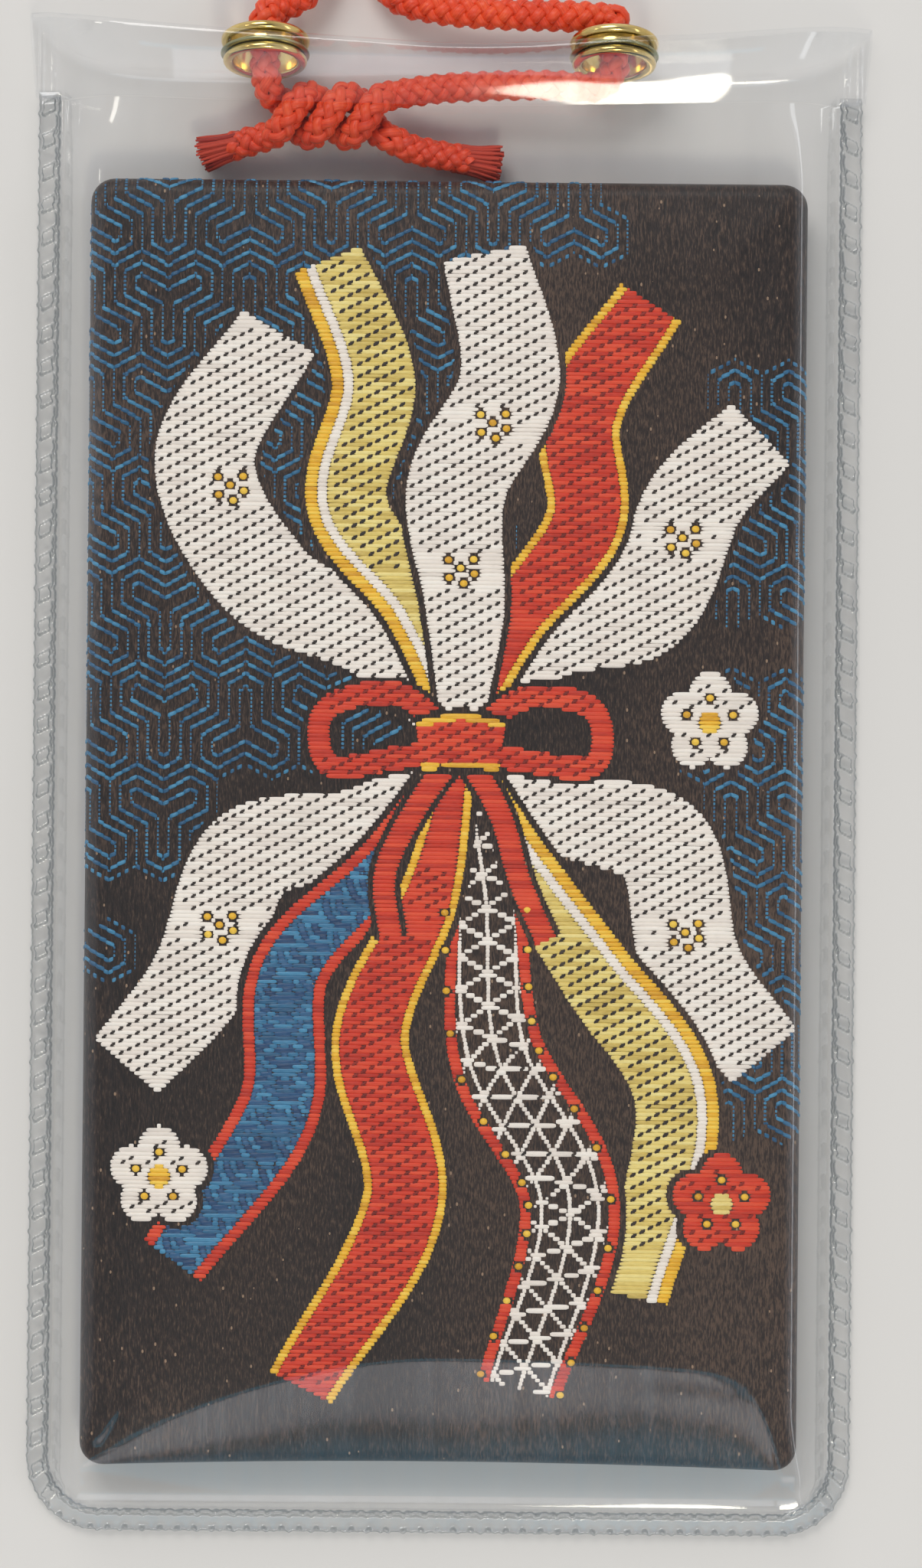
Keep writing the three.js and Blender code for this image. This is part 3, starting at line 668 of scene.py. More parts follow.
def tuft(line, diameter):
    """The cut end of the cord: its yarns opened out a little."""
    tangent, normal, side = frames(line)
    tip, ahead, out, up = line[-1], tangent[-1], normal[-1], side[-1]
    t = np.linspace(-0.4, 1, 5)
    thick = TUFT_YARN * np.where(t > 0.99, 0.5, 1.0)[:, None, None]
    yarns = []
    for i in range(TUFT_YARNS):
        spread = math.sqrt((i + 0.5) / TUFT_YARNS)
        angle = i * GOLDEN_ANGLE
        reach = TUFT_LENGTH * (0.82 + 0.18 * rng.random())
        radius = diameter / 2 * spread * (0.88 + TUFT_FLARE * np.clip(t, 0, 1) ** 1.3)
        offset = radius[:, None] * (math.cos(angle) * out + math.sin(angle) * up * 0.8)
        centre = tip + (t * reach)[:, None] * ahead + offset
        centre[:, 2] = np.maximum(centre[:, 2], TUFT_LOWEST)
        points, faces = tube(centre, out, up, thick, thick, YARN_RING)
        tone = np.full(len(points), rng.random() * 9)
        yarns.append((points, faces, np.stack([np.repeat(t * 2, YARN_RING), tone], axis=1)))
    return joined(yarns)


def add_cord():
    """The knotted ends inside the sleeve, and the hanging loop outside it."""
    shapes = []
    for end in end_lines(CORD_STEP):
        shapes += [braid(end, INNER_CORD), tuft(end, INNER_CORD)]
    points, faces, coords = joined(shapes)
    # The tufts take the second material, a darker red painted as shade.
    cut = np.concatenate([np.full(len(shape[1]), i % 2) for i, shape in enumerate(shapes)])
    knot = add_piece("cord_knot", points, faces, [CORD_RED, TUFT_PAINTED_SHADE], "sleeve", coords, uses=cut)
    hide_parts("cord_left_end", "cord_right_end")
    line = loop_line(CORD_STEP)
    points, faces, coords = braid(line, CORD)
    loop = add_piece("cord_hanging_loop", points, faces, [CORD_RED], None, coords)
    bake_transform(loop)
    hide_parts("cord_loop")
    (loop_line(1.0) * MM).tolist()


def lathe(profile, x):
    """A turned ring about an eyelet's axis, from (radius, height) points in a closed loop."""
    side = np.array([1.0, 0, 0])
    up = np.cross(EYELET_AXIS, side)
    angle = full_turn(EYELET_SEGMENTS)[:, None]
    spoke = np.cos(angle) * side + np.sin(angle) * up
    loop = np.array(profile + profile[:1])
    rings = [on_axis(x, h) + r * spoke for r, h in loop]
    return np.concatenate(rings), grid_faces(len(loop), EYELET_SEGMENTS, True)


def arc(centre, radius, start, stop, count):
    """Points of an arc between two angles in degrees."""
    angles = np.radians(np.linspace(start, stop, count))
    return [(centre[0] + radius * math.cos(a), centre[1] + radius * math.sin(a)) for a in angles]


def add_eyelets():
    """Each eyelet has a rolled flange, a tube and a spread foot, with a washer above the foot."""
    flange = arc((2.45, 0.5), 0.3, -90, 60, 7) + arc((2.22, 0.52), 0.28, 70, 180, 7)
    foot = arc((2.2, -0.8), 0.25, 180, 270, 5) + arc((2.38, -0.83), 0.22, 290, 400, 5)
    section = flange + foot + [(2.5, -0.6), (2.2, -0.6), (2.2, 0.2)]
    washer_section = arc((2.66, -0.38), 0.1, -90, 90, 7) + [(2.3, -0.22), (2.3, -0.54), (2.5, -0.53)]
    for name, x in EYELETS.items():
        points, faces = lathe(section, x)
        eyelet = add_piece(f"eyelet_ring_{name}", points, faces, [BRASS], "sleeve", sharp=55)
        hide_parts(f"eyelet_{name}")
        points, faces = lathe(washer_section, x)
        washer = add_piece(f"washer_ring_{name}", points, faces, [WASHER], "sleeve", sharp=55)
        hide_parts(f"eyelet_washer_{name}")


def mouth_height(x):
    """How far the front sheet stands off at the sleeve's mouth."""
    across = np.minimum(1, np.abs(x) / PANEL_HALF)
    return PANEL_LOW_Z + (MOUTH_DEPTH - PANEL_LOW_Z) * (1 - across**MOUTH_POWER)


def mouth_line(x):
    """How far up the sleeve's mouth lies: its edge sags a little in the middle."""
    return MOUTH_Y - MOUTH_SAG * (1 - (x / PANEL_HALF) ** 2)


def arch_line(x):
    """Upper edge of the shallow arch that the front sheet sinks into over the charm's foot."""
    fall = sum(depth * (np.maximum(sign * x, 0) / reach) ** power for sign, depth, reach, power in ARCH_SIDES)
    return ARCH_TOP - np.minimum(fall, ARCH_LOWEST)


def crease(x, y):
    """A small ridge in the front sheet that runs up from the charm's lower left corner."""
    run = unit(np.array(CREASE_RUN))
    dx, dy = x - CREASE_FOOT[0], y - CREASE_FOOT[1]
    along = dx * run[0] + dy * run[1]
    off = dx * run[1] - dy * run[0]
    ends = smoothstep(0, 1.0, along) * smoothstep(4.4, 1.4, along)
    return CREASE_RISE * np.exp(-((off / CREASE_WIDTH) ** 2)) * ends


def panel_height(x, y):
    """Middle of the front sheet: up from the weld, steeply at the foot, over the charm, out at the mouth."""
    qx = np.abs(x) - (PANEL_HALF - PANEL_CORNER)
    qy = PANEL_BOTTOM + PANEL_CORNER - y
    outside = np.hypot(np.maximum(qx, 0), np.maximum(qy, 0))
    inset = PANEL_CORNER - outside - np.minimum(np.maximum(qx, qy), 0)
    side_width = PANEL_SIDE - PANEL_SIDE_NARROWS * smoothstep(7, 0, y - PANEL_BOTTOM)
    side = 1 - (1 - np.clip(inset / side_width, 0, 1)) ** 2
    foot = smoothstep(0.05, 0.4, inset) * (1 - FOOT_SLOPE * np.maximum(FOOT_REACH - inset, 0) ** 2)
    t = side + smoothstep(-0.7, 0.7, qy - qx) * (foot - side)
    over = PANEL_LOW_Z + (PANEL_OVER_Z - PANEL_LOW_Z) * t
    arch = arch_line(x)
    deep = np.maximum(arch - CHARM_LOW, 0.5)
    down = np.clip((arch - y) / deep, 0, 1.3)
    ripple = 0.02 * np.sin(x / 3.1 + y / 9) * np.sin(y / 5.3) + 0.015 * np.sin(x / 6.5 - y / 4.1)
    ripple = ripple * (1 - 0.65 * smoothstep(0, 0.3, down)) + crease(x, y)
    over = over - deep * (ARCH_STEEP * down - ARCH_EASE / 2 * down**2) * t + ripple * t
    near_mouth = smoothstep(CHARM_HIGH - 0.4, mouth_line(x), y)
    rim = 0.09 * np.exp(-((inset / 0.09) ** 2)) + 0.07 * np.exp(-(((inset + 0.24) / 0.07) ** 2))
    return over + (mouth_height(x) - over) * near_mouth + rim


def half_width_at(y, half, bottom, corner):
    """Half the width of a sheet with rounded lower corners."""
    below = np.clip(bottom + corner - y, 0, corner)
    return half - corner + np.sqrt(corner**2 - below**2)


def add_front_panel():
    """The clear front sheet, with close points at its foot, its mouth and its sides."""
    stations = ((-0.4, 4, 64), (4.3, 14, 44), (15.5, 80, 44), (80.6, PANEL_LENGTH, 34))
    y = PANEL_BOTTOM + np.concatenate([np.linspace(*station) for station in stations])
    edge = 1 - np.linspace(0, 1, 54) ** 1.25 * 0.2
    across = np.concatenate([-edge, np.linspace(-0.79, 0.79, 61), edge[::-1]])
    width = half_width_at(y, PANEL_HALF + PANEL_LAP, PANEL_BOTTOM - PANEL_LAP, PANEL_CORNER + PANEL_LAP)
    x = across[None, :] * width[:, None]
    top = PANEL_BOTTOM + PANEL_LENGTH
    yy = y[:, None] - (top - mouth_line(x)) * smoothstep(top - 8, top, y)[:, None]
    grid = np.stack([x, yy, panel_height(x, yy)], axis=2)
    points, faces = sheet(grid, SHEET)
    panel = add_piece("vinyl_front", points, faces, [VINYL], "sleeve", sharp=24)
    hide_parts("sleeve_front_panel")


# The crest of the top fold, from left to right.
RIDGE = (
    (-25.9, 47.5), (-20, 46.5), (-11.5, 45.8), (-6, 45.45), (0, 45.1),
    (5, 45.2), (10.1, 45.6), (15, 45.8), (20, 46.25), (25.9, 46.95),
)


def rounded(before, corner, after, size):
    """A bend in place of a corner."""
    entry = corner + unit(before - corner) * size
    leave = corner + unit(after - corner) * size
    t = np.linspace(0, 1, 12)[:, None]
    return (1 - t) ** 2 * entry + 2 * t * (1 - t) * corner + t**2 * leave


def fold_section(x, ridge_y, count):
    """The top fold at x: up the back, over the top and down the bowed front to the mouth."""
    opened = 1 - min(1, abs(x) / FOLD_HALF) ** FOLD_POWER
    half = SHEET / 2

    def mix(ear, middle):
        return ear + (middle - ear) * opened

    start = np.array([MOUTH_Y + 0.5, half])
    back = np.array([mix(ridge_y - 0.05, FOLD_Y - (FOLD_Z - half) * math.tan(FOLD_TILT)), half])
    front = np.array([ridge_y, mix(EAR_Z, FOLD_FRONT_Z)])
    low_z = max(float(mouth_height(x)) + 0.1, EAR_Z)
    w = np.linspace(1, 0, 24)
    flap_y = float(mouth_line(x)) + 0.12
    face_y = flap_y + (ridge_y - flap_y) * w
    face = np.column_stack([face_y, low_z + (front[1] - low_z) * (1 - (1 - w) ** 1.5)])
    top_bend = mix(EAR_BEND, TOP_BEND)
    first = np.flatnonzero(face[:, 0] < ridge_y - top_bend)[0]
    path = [start[None], rounded(start, back, front, mix(EAR_BEND, BACK_BEND))]
    path += [rounded(back, front, face[first], top_bend), face[first:]]
    line = resample(np.concatenate(path), 0.02)
    even = np.linspace(0, len(line) - 1, count).round().astype(int)
    return np.column_stack([np.full(count, x), line[even]])


def add_back_panel():
    """The clear back sheet with its top fold, cut out around the eyelets."""
    edge = 1 - np.linspace(0, 1, 22) ** 1.3 * 0.075
    columns = np.concatenate([-edge, np.linspace(-0.915, 0.915, 105), edge[::-1]])
    lower = np.concatenate([np.linspace(BACK_BOTTOM, -42, 24), np.linspace(-40, MOUTH_Y + 0.1, 30)])
    width = half_width_at(lower, BACK_HALF, BACK_BOTTOM, PANEL_CORNER)
    flat = np.stack(np.broadcast_arrays(columns * width[:, None], lower[:, None], SHEET / 2), axis=2)
    ridge = curve(RIDGE, 0.2)
    x = columns * (HALF_WIDTH + 0.15)
    tops = np.interp(x, ridge[:, 0], ridge[:, 1])
    fold = np.stack([fold_section(a, b, 84) for a, b in zip(x, tops)], axis=1)
    fold[..., 0] *= 1 + 0.012 * smoothstep(42.6, 47.5, fold[..., 1])
    out = np.abs(fold[..., 0])
    for bead_x in EAR_BEADS:
        fold[..., 2] += 0.14 * np.exp(-(((out - bead_x) / 0.1) ** 2))
    grid = np.concatenate([flat, fold])
    centre = (grid[:-1, :-1] + grid[1:, 1:]) / 2
    keep = np.ones(centre.shape[:2], bool)
    for x in EYELETS.values():
        away = centre - on_axis(x, 0)
        height = away @ EYELET_AXIS
        radius = np.linalg.norm(away - height[..., None] * EYELET_AXIS, axis=2)
        keep &= ~((radius < EYELET_HOLE) & (np.abs(height) < 1))
    points, faces = sheet(grid, SHEET, keep)
    panel = add_piece("vinyl_back", points, faces, [VINYL], "sleeve", sharp=60)
    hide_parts("sleeve_back_panel")


def weld_path(step):
    """The sleeve's outer edge from the top left, round the bottom, to the top right, with inward normals."""
    turn_x, turn_y = HALF_WIDTH - WELD_CORNER, BOTTOM_Y + WELD_CORNER
    sides = np.arange(WELD_TOP, turn_y, -step)
    left = [(-HALF_WIDTH, y, 1, 0) for y in sides]
    corner = []
    for a in np.linspace(math.pi, 1.5 * math.pi, int(WELD_CORNER * math.pi / 2 / step)):
        c, s = math.cos(a), math.sin(a)
        corner.append((-turn_x + WELD_CORNER * c, turn_y + WELD_CORNER * s, -c, -s))
    bottom = [(x, BOTTOM_Y, 0, 1) for x in np.arange(-turn_x + step, 0, step)]
    half = np.array(left + corner + bottom)
    other = half[::-1] * np.array([-1, 1, -1, 1])
    return np.concatenate([half, other])


def add_weld():
    """The embossed weld along the sides and the bottom, with a slightly uneven outer edge."""
    path = weld_path(WELD_STEP)
    place, inward = path[:, :2], path[:, 2:]
    s = distance_along(place)
    flash = 0.035 * (np.sin(5.3 * s) + np.sin(8.9 * s + 1) + np.sin(13.1 * s + 2))
    place = place - inward * np.clip(flash, -0.02, 0.09)[:, None]
    s = np.minimum(s, s[-1] - s)
    t = np.linspace(0, WELD_WIDTH, 36)
    height = weld_height(s[:, None], t[None, :], place[:, 1][:, None])
    height = WELD_END_Z + (height - WELD_END_Z) * smoothstep(0, 0.9, s)[:, None]
    xy = place[:, None, :] + t[None, :, None] * inward[:, None, :]
    top = np.dstack([xy, height])
    lower = np.dstack([xy[:, [0, -1]], np.full((len(path), 2), WELD_BACK_Z)])
    ring = np.concatenate([top, lower[:, ::-1]], axis=1)
    count = ring.shape[1]
    last = (len(path) - 1) * count
    faces = [list(f)[::-1] for f in grid_faces(len(path), count, True)]
    faces += [list(range(count)), list(range(last, last + count))[::-1]]
    weld = add_piece("vinyl_weld", ring.reshape(-1, 3), faces, [WELDED], "sleeve", sharp=70)
    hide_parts("sleeve_weld")


def weld_height(s, t, y):
    """Embossed top of the weld: edge lines, slanting pads down the sides, dots along the bottom."""
    def line(at, width, rise):
        return rise * np.exp(-(((t - at) / width) ** 2))

    def spot(near, at, radius, rise):
        return rise * np.exp(-(((t - at) ** 2 + near**2) / radius**2))

    base = 0.33 * smoothstep(-0.05, 0.12, t) * smoothstep(WELD_WIDTH + 0.05, WELD_WIDTH - 0.08, t) + 0.05
    on_side = smoothstep(BOTTOM_Y + 1.5, BOTTOM_Y + 2.2, y)
    along = (s / RIB_PITCH % 1 - 0.5) * RIB_PITCH
    slanted = ((s + (t - 0.7) * 0.5) / RIB_PITCH % 1 - 0.5) * RIB_PITCH
    pad = smoothstep(0.47, 0.36, np.abs(slanted)) * smoothstep(0.26, 0.34, t) * smoothstep(1.04, 0.96, t)
    hook = spot(along + 0.45, 1.08, 0.14, 0.3) + spot(along - 0.52, 0.32, 0.09, 0.2)
    rail = line(1.12, 0.05, 0.17) * smoothstep(0.35, 0.6, np.abs(along)) + line(1.28, 0.04, 0.12)
    near = (s / DOT_PITCH % 1 - 0.5) * DOT_PITCH
    dots = spot(near, 0.19, 0.15, 0.34) + spot(near - 0.2, 1.22, 0.13, 0.28)
    bottom = dots + line(1.05, 0.05, 0.10)
    return base + line(0.05, 0.05, 0.16) + (0.32 * pad + hook + rail) * on_side + bottom * (1 - on_side)


def outline(inset, count=60):
    """A rounded rectangle inside the charm's outline, always with the same number of points."""
    half, rise = CHARM_HALF - inset, CHARM_RISE - inset
    corner = max(CHARM_CORNER - inset, min(0.3, half / 2))
    bends = []
    for k, (cx, cy) in enumerate(((1, -1), (1, 1), (-1, 1), (-1, -1))):
        turn = np.radians(np.linspace(-90, 0, 8) + 90 * k)
        centre = np.array([cx * (half - corner), cy * (rise - corner) + CHARM_MID])
        bends.append(centre + corner * np.column_stack([np.cos(turn), np.sin(turn)]))
    t = np.linspace(0, 1, count + 1)[1:-1, None]
    points = []
    for bend, following in zip(bends, bends[1:] + bends[:1]):
        points += [bend, bend[-1] * (1 - t) + following[0] * t]
    return np.concatenate(points)


def past_corner(u, v):
    """Where the flat cloth would stick out past the charm's rounded corners."""
    x, _ = bend_over(u, CHARM_HALF - EDGE)
    y, _ = bend_over(v, CHARM_RISE - EDGE)
    over_x, over_y = np.abs(x) - CHARM_HALF + CHARM_CORNER, np.abs(y) - CHARM_RISE + CHARM_CORNER
    return (over_x > 0) & (over_y > 0) & (np.hypot(over_x, over_y) > CHARM_CORNER - 0.2)


def crown_drop(inset):
    """How far the soft crown has fallen at a distance in from the charm's edge."""
    return CROWN * (1 - np.clip((inset - EDGE) / 6, 0, 1)) ** 2


def tray(front):
    """Points and faces of one cloth side of the pouch: turned-in lip, rounded edge, soft crown."""
    rings = list(LIP)
    for a in np.radians(np.linspace(0, 90, 12)):
        rings.append((EDGE * (1 - math.cos(a)), LIP_RISE + EDGE * math.sin(a)))
    insets = np.concatenate([np.linspace(EDGE + 0.3, 7, 14), [9, 12, 16, 20, 22.1]])
    rings += [(d, LIP_RISE + EDGE + CROWN - crown_drop(d)) for d in insets]
    layers = []
    for inset, rise in rings:
        flat = outline(inset)
        z = SEAM_Z + rise if front else SEAM_Z - rise
        layers.append(np.column_stack([flat, np.full(len(flat), z)]))
    count = len(layers[0])
    faces = [list(f) for f in grid_faces(len(layers), count, True)]
    last = (len(layers) - 1) * count
    faces.append(list(range(last, last + count)))
    if not front:
        faces = [f[::-1] for f in faces]
    return bowed(np.concatenate(layers)), faces


def bend_over(distance, flat):
    """Where a distance along the cloth from the middle comes to lie, and how far it has turned down."""
    beyond = np.clip((np.abs(distance) - flat) / EDGE, 0, math.pi / 2)
    reach = np.minimum(np.abs(distance), flat) + EDGE * np.sin(beyond)
    return np.sign(distance) * reach, np.sign(distance) * beyond


def bowed(points):
    """Lifts the charm's foot a little in the middle, as its cloth draws in there."""
    x, y = points[..., 0], points[..., 1]
    points[..., 1] = y + FOOT_BOW * (1 - (x / CHARM_HALF) ** 2) * smoothstep(-30, CHARM_LOW, y)
    return points


def cloth(u, v, lift, front=True):
    """Points of the pouch's cloth at u across and v up from its middle, raised by lift."""
    x, tilt_x = bend_over(u, CHARM_HALF - EDGE)
    y, tilt_y = bend_over(v, CHARM_RISE - EDGE)
    inset = np.minimum(CHARM_HALF - np.abs(x), CHARM_RISE - np.abs(y))
    rim = EDGE * np.sqrt(np.clip(1 - (1 - np.clip(inset / EDGE, 0, 1)) ** 2, 0, 1))
    rise = LIP_RISE + rim + CROWN - crown_drop(np.maximum(inset, EDGE))
    normal = np.stack([np.sin(tilt_x), np.sin(tilt_y), np.cos(tilt_x) * np.cos(tilt_y)], axis=-1)
    place = np.stack([x, y + CHARM_MID, rise], axis=-1) + normal * lift[..., None]
    place[..., 2] = SEAM_Z + place[..., 2] if front else SEAM_Z - place[..., 2]
    return bowed(place)


# The stitches between the two cloths.
STITCH_PITCH = 1.5
STITCH_INSET = 0.4
STITCH_REACH = 0.42
STITCH_RISE = 0.26
STITCH_RADIUS = 0.11

# The woven design: a raster with one row for each pick of weft.
PICK = 0.25
CELL = 0.06
FLAT_U = CHARM_HALF + 0.45
FLAT_V = CHARM_RISE + 0.45
# Codes for no yarn, white, pale and deep gold, red, teal and blue, and teal on rising and falling lines.
NONE, W, PG, DG, R, T, B, T_UP, T_DOWN = range(9)


def inside(polygon, u, v):
    """Which points lie inside a polygon."""
    hit = np.zeros(u.shape, bool)
    following = np.roll(polygon, -1, axis=0)
    for (x0, y0), (x1, y1) in zip(polygon, following):
        if y0 == y1:
            continue
        crosses = (y0 > v) != (y1 > v)
        hit ^= crosses & (u < (x1 - x0) * (v - y0) / (y1 - y0) + x0)
    return hit


def band(line, side, low, high):
    """The outline of the band between two distances to the side of a line."""
    near, far = (line + side * distance[:, None] for distance in (low, high))
    return np.vstack([near, far[::-1]])


def left_of(line):
    """The direction to the left of a flat line at each of its points."""
    tangent = unit(np.gradient(line, axis=0))
    return np.column_stack([-tangent[:, 1], tangent[:, 0]])


class Loom:
    """A design in the making. Shapes are given in millimetres, in the part's frame."""

    def __init__(self):
        rows, columns = int(2 * FLAT_V / PICK), int(2 * FLAT_U / CELL)
        self.design = np.zeros((rows, columns), np.uint8)
        u = (np.arange(columns) + 0.5) * CELL - FLAT_U
        v = (np.arange(rows) + 0.5) * PICK - FLAT_V
        self.u, self.y = np.meshgrid(u, v + CHARM_MID)
        self.beads = []

    def mask(self, polygon):
        """The cells inside a polygon."""
        low, high = polygon.min(axis=0), polygon.max(axis=0)
        near = (self.u >= low[0]) & (self.u <= high[0]) & (self.y >= low[1]) & (self.y <= high[1])
        found = np.zeros(self.u.shape, bool)
        found[near] = inside(polygon, self.u[near], self.y[near])
        return found

    def fill(self, polygon, yarn):
        self.design[self.mask(polygon)] = yarn

    def ribbon(self, points, widths, yarn, trims=(), pattern=None, gap=0.38):
        """A band along a curve, cut clear of what lies behind it.

        Each trim is (yarn, start, stop, side): a stripe between two distances in from one edge,
        or from both edges where side is 0.
        """
        line = curve(points, 0.4)
        t = np.linspace(0, 1, len(line))
        half = np.interp(t, np.linspace(0, 1, len(widths)), widths) / 2
        side = left_of(line)
        self.fill(band(line, side, -half - gap, half + gap), NONE)
        body = self.mask(band(line, side, -half, half))
        self.design[body] = yarn
        if pattern is not None:
            self.design[body] = pattern(*self.beside(body, line, side))
        for stripe, start, stop, which in trims:
            for sign in (-1, 1):
                if which in (0, sign):
                    self.fill(band(line, side, sign * (half - stop), sign * (half - start)), stripe)

    def beside(self, body, line, side):
        """How far along and beside a line each cell of a mask lies."""
        here = np.column_stack([self.u[body], self.y[body]])
        away = here[:, None, :] - line[None, ::2, :]
        nearest = np.argmin((away**2).sum(axis=2), axis=1) * 2
        tangent = np.column_stack([side[nearest, 1], -side[nearest, 0]])
        offset = here - line[nearest]
        along = distance_along(line)[nearest] + (offset * tangent).sum(axis=1)
        return along, (offset * side[nearest]).sum(axis=1)

    def disc(self, centre, radius, yarn):
        angle = full_turn(40)
        ring = np.column_stack([np.cos(angle), np.sin(angle)]) * radius
        self.fill(np.array(centre) + ring, yarn)

    def bead(self, x, y):
        """A gold dot with a dark outline."""
        self.disc((x, y), 0.36, NONE)
        self.beads.append((x, y))

    def bead_row(self, points, spacing, offset):
        """Gold dots at even distances beside a curve."""
        line = curve(points, 0.1)
        side = left_of(line)
        for i in range(int(spacing * 5), len(line), int(spacing * 10)):
            self.bead(*(line[i] + side[i] * offset))

    def blossom(self, centre, radius, yarn, heart):
        """A five-petalled plum blossom with stamens."""
        spokes = np.radians(90 + 72 * np.arange(5))
        petals = np.array(centre) + 0.95 * radius * np.column_stack([np.cos(spokes), np.sin(spokes)])
        for grow, colour in ((0.38, NONE), (0.0, yarn)):
            for petal in petals:
                self.disc(petal, radius * 0.70 + grow, colour)
        self.disc(centre, radius * 0.62, yarn)
        self.disc(centre, radius * 0.36, heart)
        for x, y in np.array(centre) + 0.62 * (petals - np.array(centre)) * 1.35:
            self.bead(x, y)


def hemp_leaf(along, across):
    """White lines in three directions on the dark ground."""
    cell, half_line = 1.75, 0.125
    on = np.zeros(along.shape, bool)
    for angle in np.radians((0, 60, 120)):
        distance = along * math.sin(angle) + across * math.cos(angle)
        on |= np.abs((distance / cell + 0.5) % 1 - 0.5) * cell < half_line
    return np.where(on, W, NONE)


def waves(along, across):
    """Overlapping scales, each of several arcs, in teal on dark blue."""
    radius, arc_pitch, arc_width = 2.0, 0.80, 0.38
    rise = radius / 2
    found = np.full(along.shape, B)
    open_cells = np.ones(along.shape, bool)
    lowest = np.ceil((along - radius) / rise)
    for step in range(4):
        row = lowest + step
        shift = (row % 2) * radius
        centre = np.round((across - shift) / (2 * radius)) * 2 * radius + shift
        distance = np.hypot(across - centre, along - row * rise)
        hit = open_cells & (distance <= radius)
        arcs = np.where((radius - distance) % arc_pitch < arc_width, T, B)
        found = np.where(hit, arcs, found)
        open_cells &= ~hit
    return found


# Hexagons of the tortoiseshell pattern, joined in threes.
HEX_W = 3.34
HEX_ROW = 3.18
HEX_AMP = 0.89
HEX_LINES = (0.0, 0.65, 1.32)
HEX_SLOPE_HALF = 0.125
HEX_SIDE_HALF = 0.07
HEX_START = (-19.0, 36.8)


def hexagon_cells(u, y):
    """Row and column of the hexagon that holds each point."""
    best = np.full(u.shape, np.inf)
    found = [np.zeros(u.shape, int) for _ in range(2)]
    row_guess = np.round((HEX_START[1] - y) / HEX_ROW).astype(int)
    for step in (-1, 0, 1):
        row = row_guess + step
        shift = (row % 2) * 0.5
        column = np.round((u - HEX_START[0]) / HEX_W - shift).astype(int)
        dx = np.abs(u - HEX_START[0] - (column + shift) * HEX_W) / (HEX_W / 2)
        dy = np.abs(HEX_START[1] - y - row * HEX_ROW)
        slant = dy - (HEX_ROW + HEX_AMP) / 2 + HEX_AMP * dx
        closer = slant < best
        best = np.where(closer, slant, best)
        found[0] = np.where(closer, row, found[0])
        found[1] = np.where(closer, column, found[1])
    return found


def hexagon_edges(pointing_down):
    """The outer edges of three joined hexagons, about the place of the first of the row's pair,
    and their inward corners with the two edges that meet at each."""
    third = HEX_W / 2, -HEX_ROW if pointing_down else HEX_ROW
    centres = [(0, 0), (HEX_W, 0), third]
    tall = (HEX_ROW - HEX_AMP) / 2
    peak = (HEX_ROW + HEX_AMP) / 2
    half = HEX_W / 2
    corners = [(0, peak), (half, tall), (half, -tall), (0, -peak), (-half, -tall), (-half, tall)]
    seen, meeting = {}, {}
    for cx, cy in centres:
        ring = [(round(cx + x, 3), round(cy + y, 3)) for x, y in corners]
        for a, b in zip(ring, ring[1:] + ring[:1]):
            key = tuple(sorted((a, b)))
            seen[key] = seen.get(key, 0) + 1
            meeting[a] = meeting.get(a, 0) + 1
    edges = [edge for edge, count in seen.items() if count == 1]
    notches = [(c, [e for e in edges if c in e]) for c, count in meeting.items() if count == 2]
    return edges, notches


def slope_of(a, b):
    """T for an upright edge, T_UP or T_DOWN for one that climbs or falls to the right."""
    if a[0] == b[0]:
        return T
    return T_UP if (b[1] - a[1]) * (b[0] - a[0]) > 0 else T_DOWN


def segment_distance(u, y, a, b):
    """Distances from the edge between two corners."""
    ax, ay = a
    bx, by = b
    length = (bx - ax) ** 2 + (by - ay) ** 2
    t = np.clip(((u - ax) * (bx - ax) + (y - ay) * (by - ay)) / length, 0, 1)
    return np.hypot(u - ax - t * (bx - ax), y - ay - t * (by - ay))


def notch_distances(u, y, corner, pair):
    """Distances from the two edges that meet at an inward corner, drawn on past it, where both are."""
    du, dy = u - corner[0], y - corner[1]
    beyond = np.ones(u.shape, bool)
    reach = []
    for a, b in pair:
        far = a if b == corner else b
        along = unit(np.array(corner) - np.array(far))
        beyond &= du * along[0] + dy * along[1] > 0
        reach.append((slope_of(far, corner), np.abs(du * along[1] - dy * along[0])))
    furthest = np.maximum(reach[0][1], reach[1][1])
    return [(slope, np.where(beyond & (far >= furthest), far, 9.0)) for slope, far in reach]


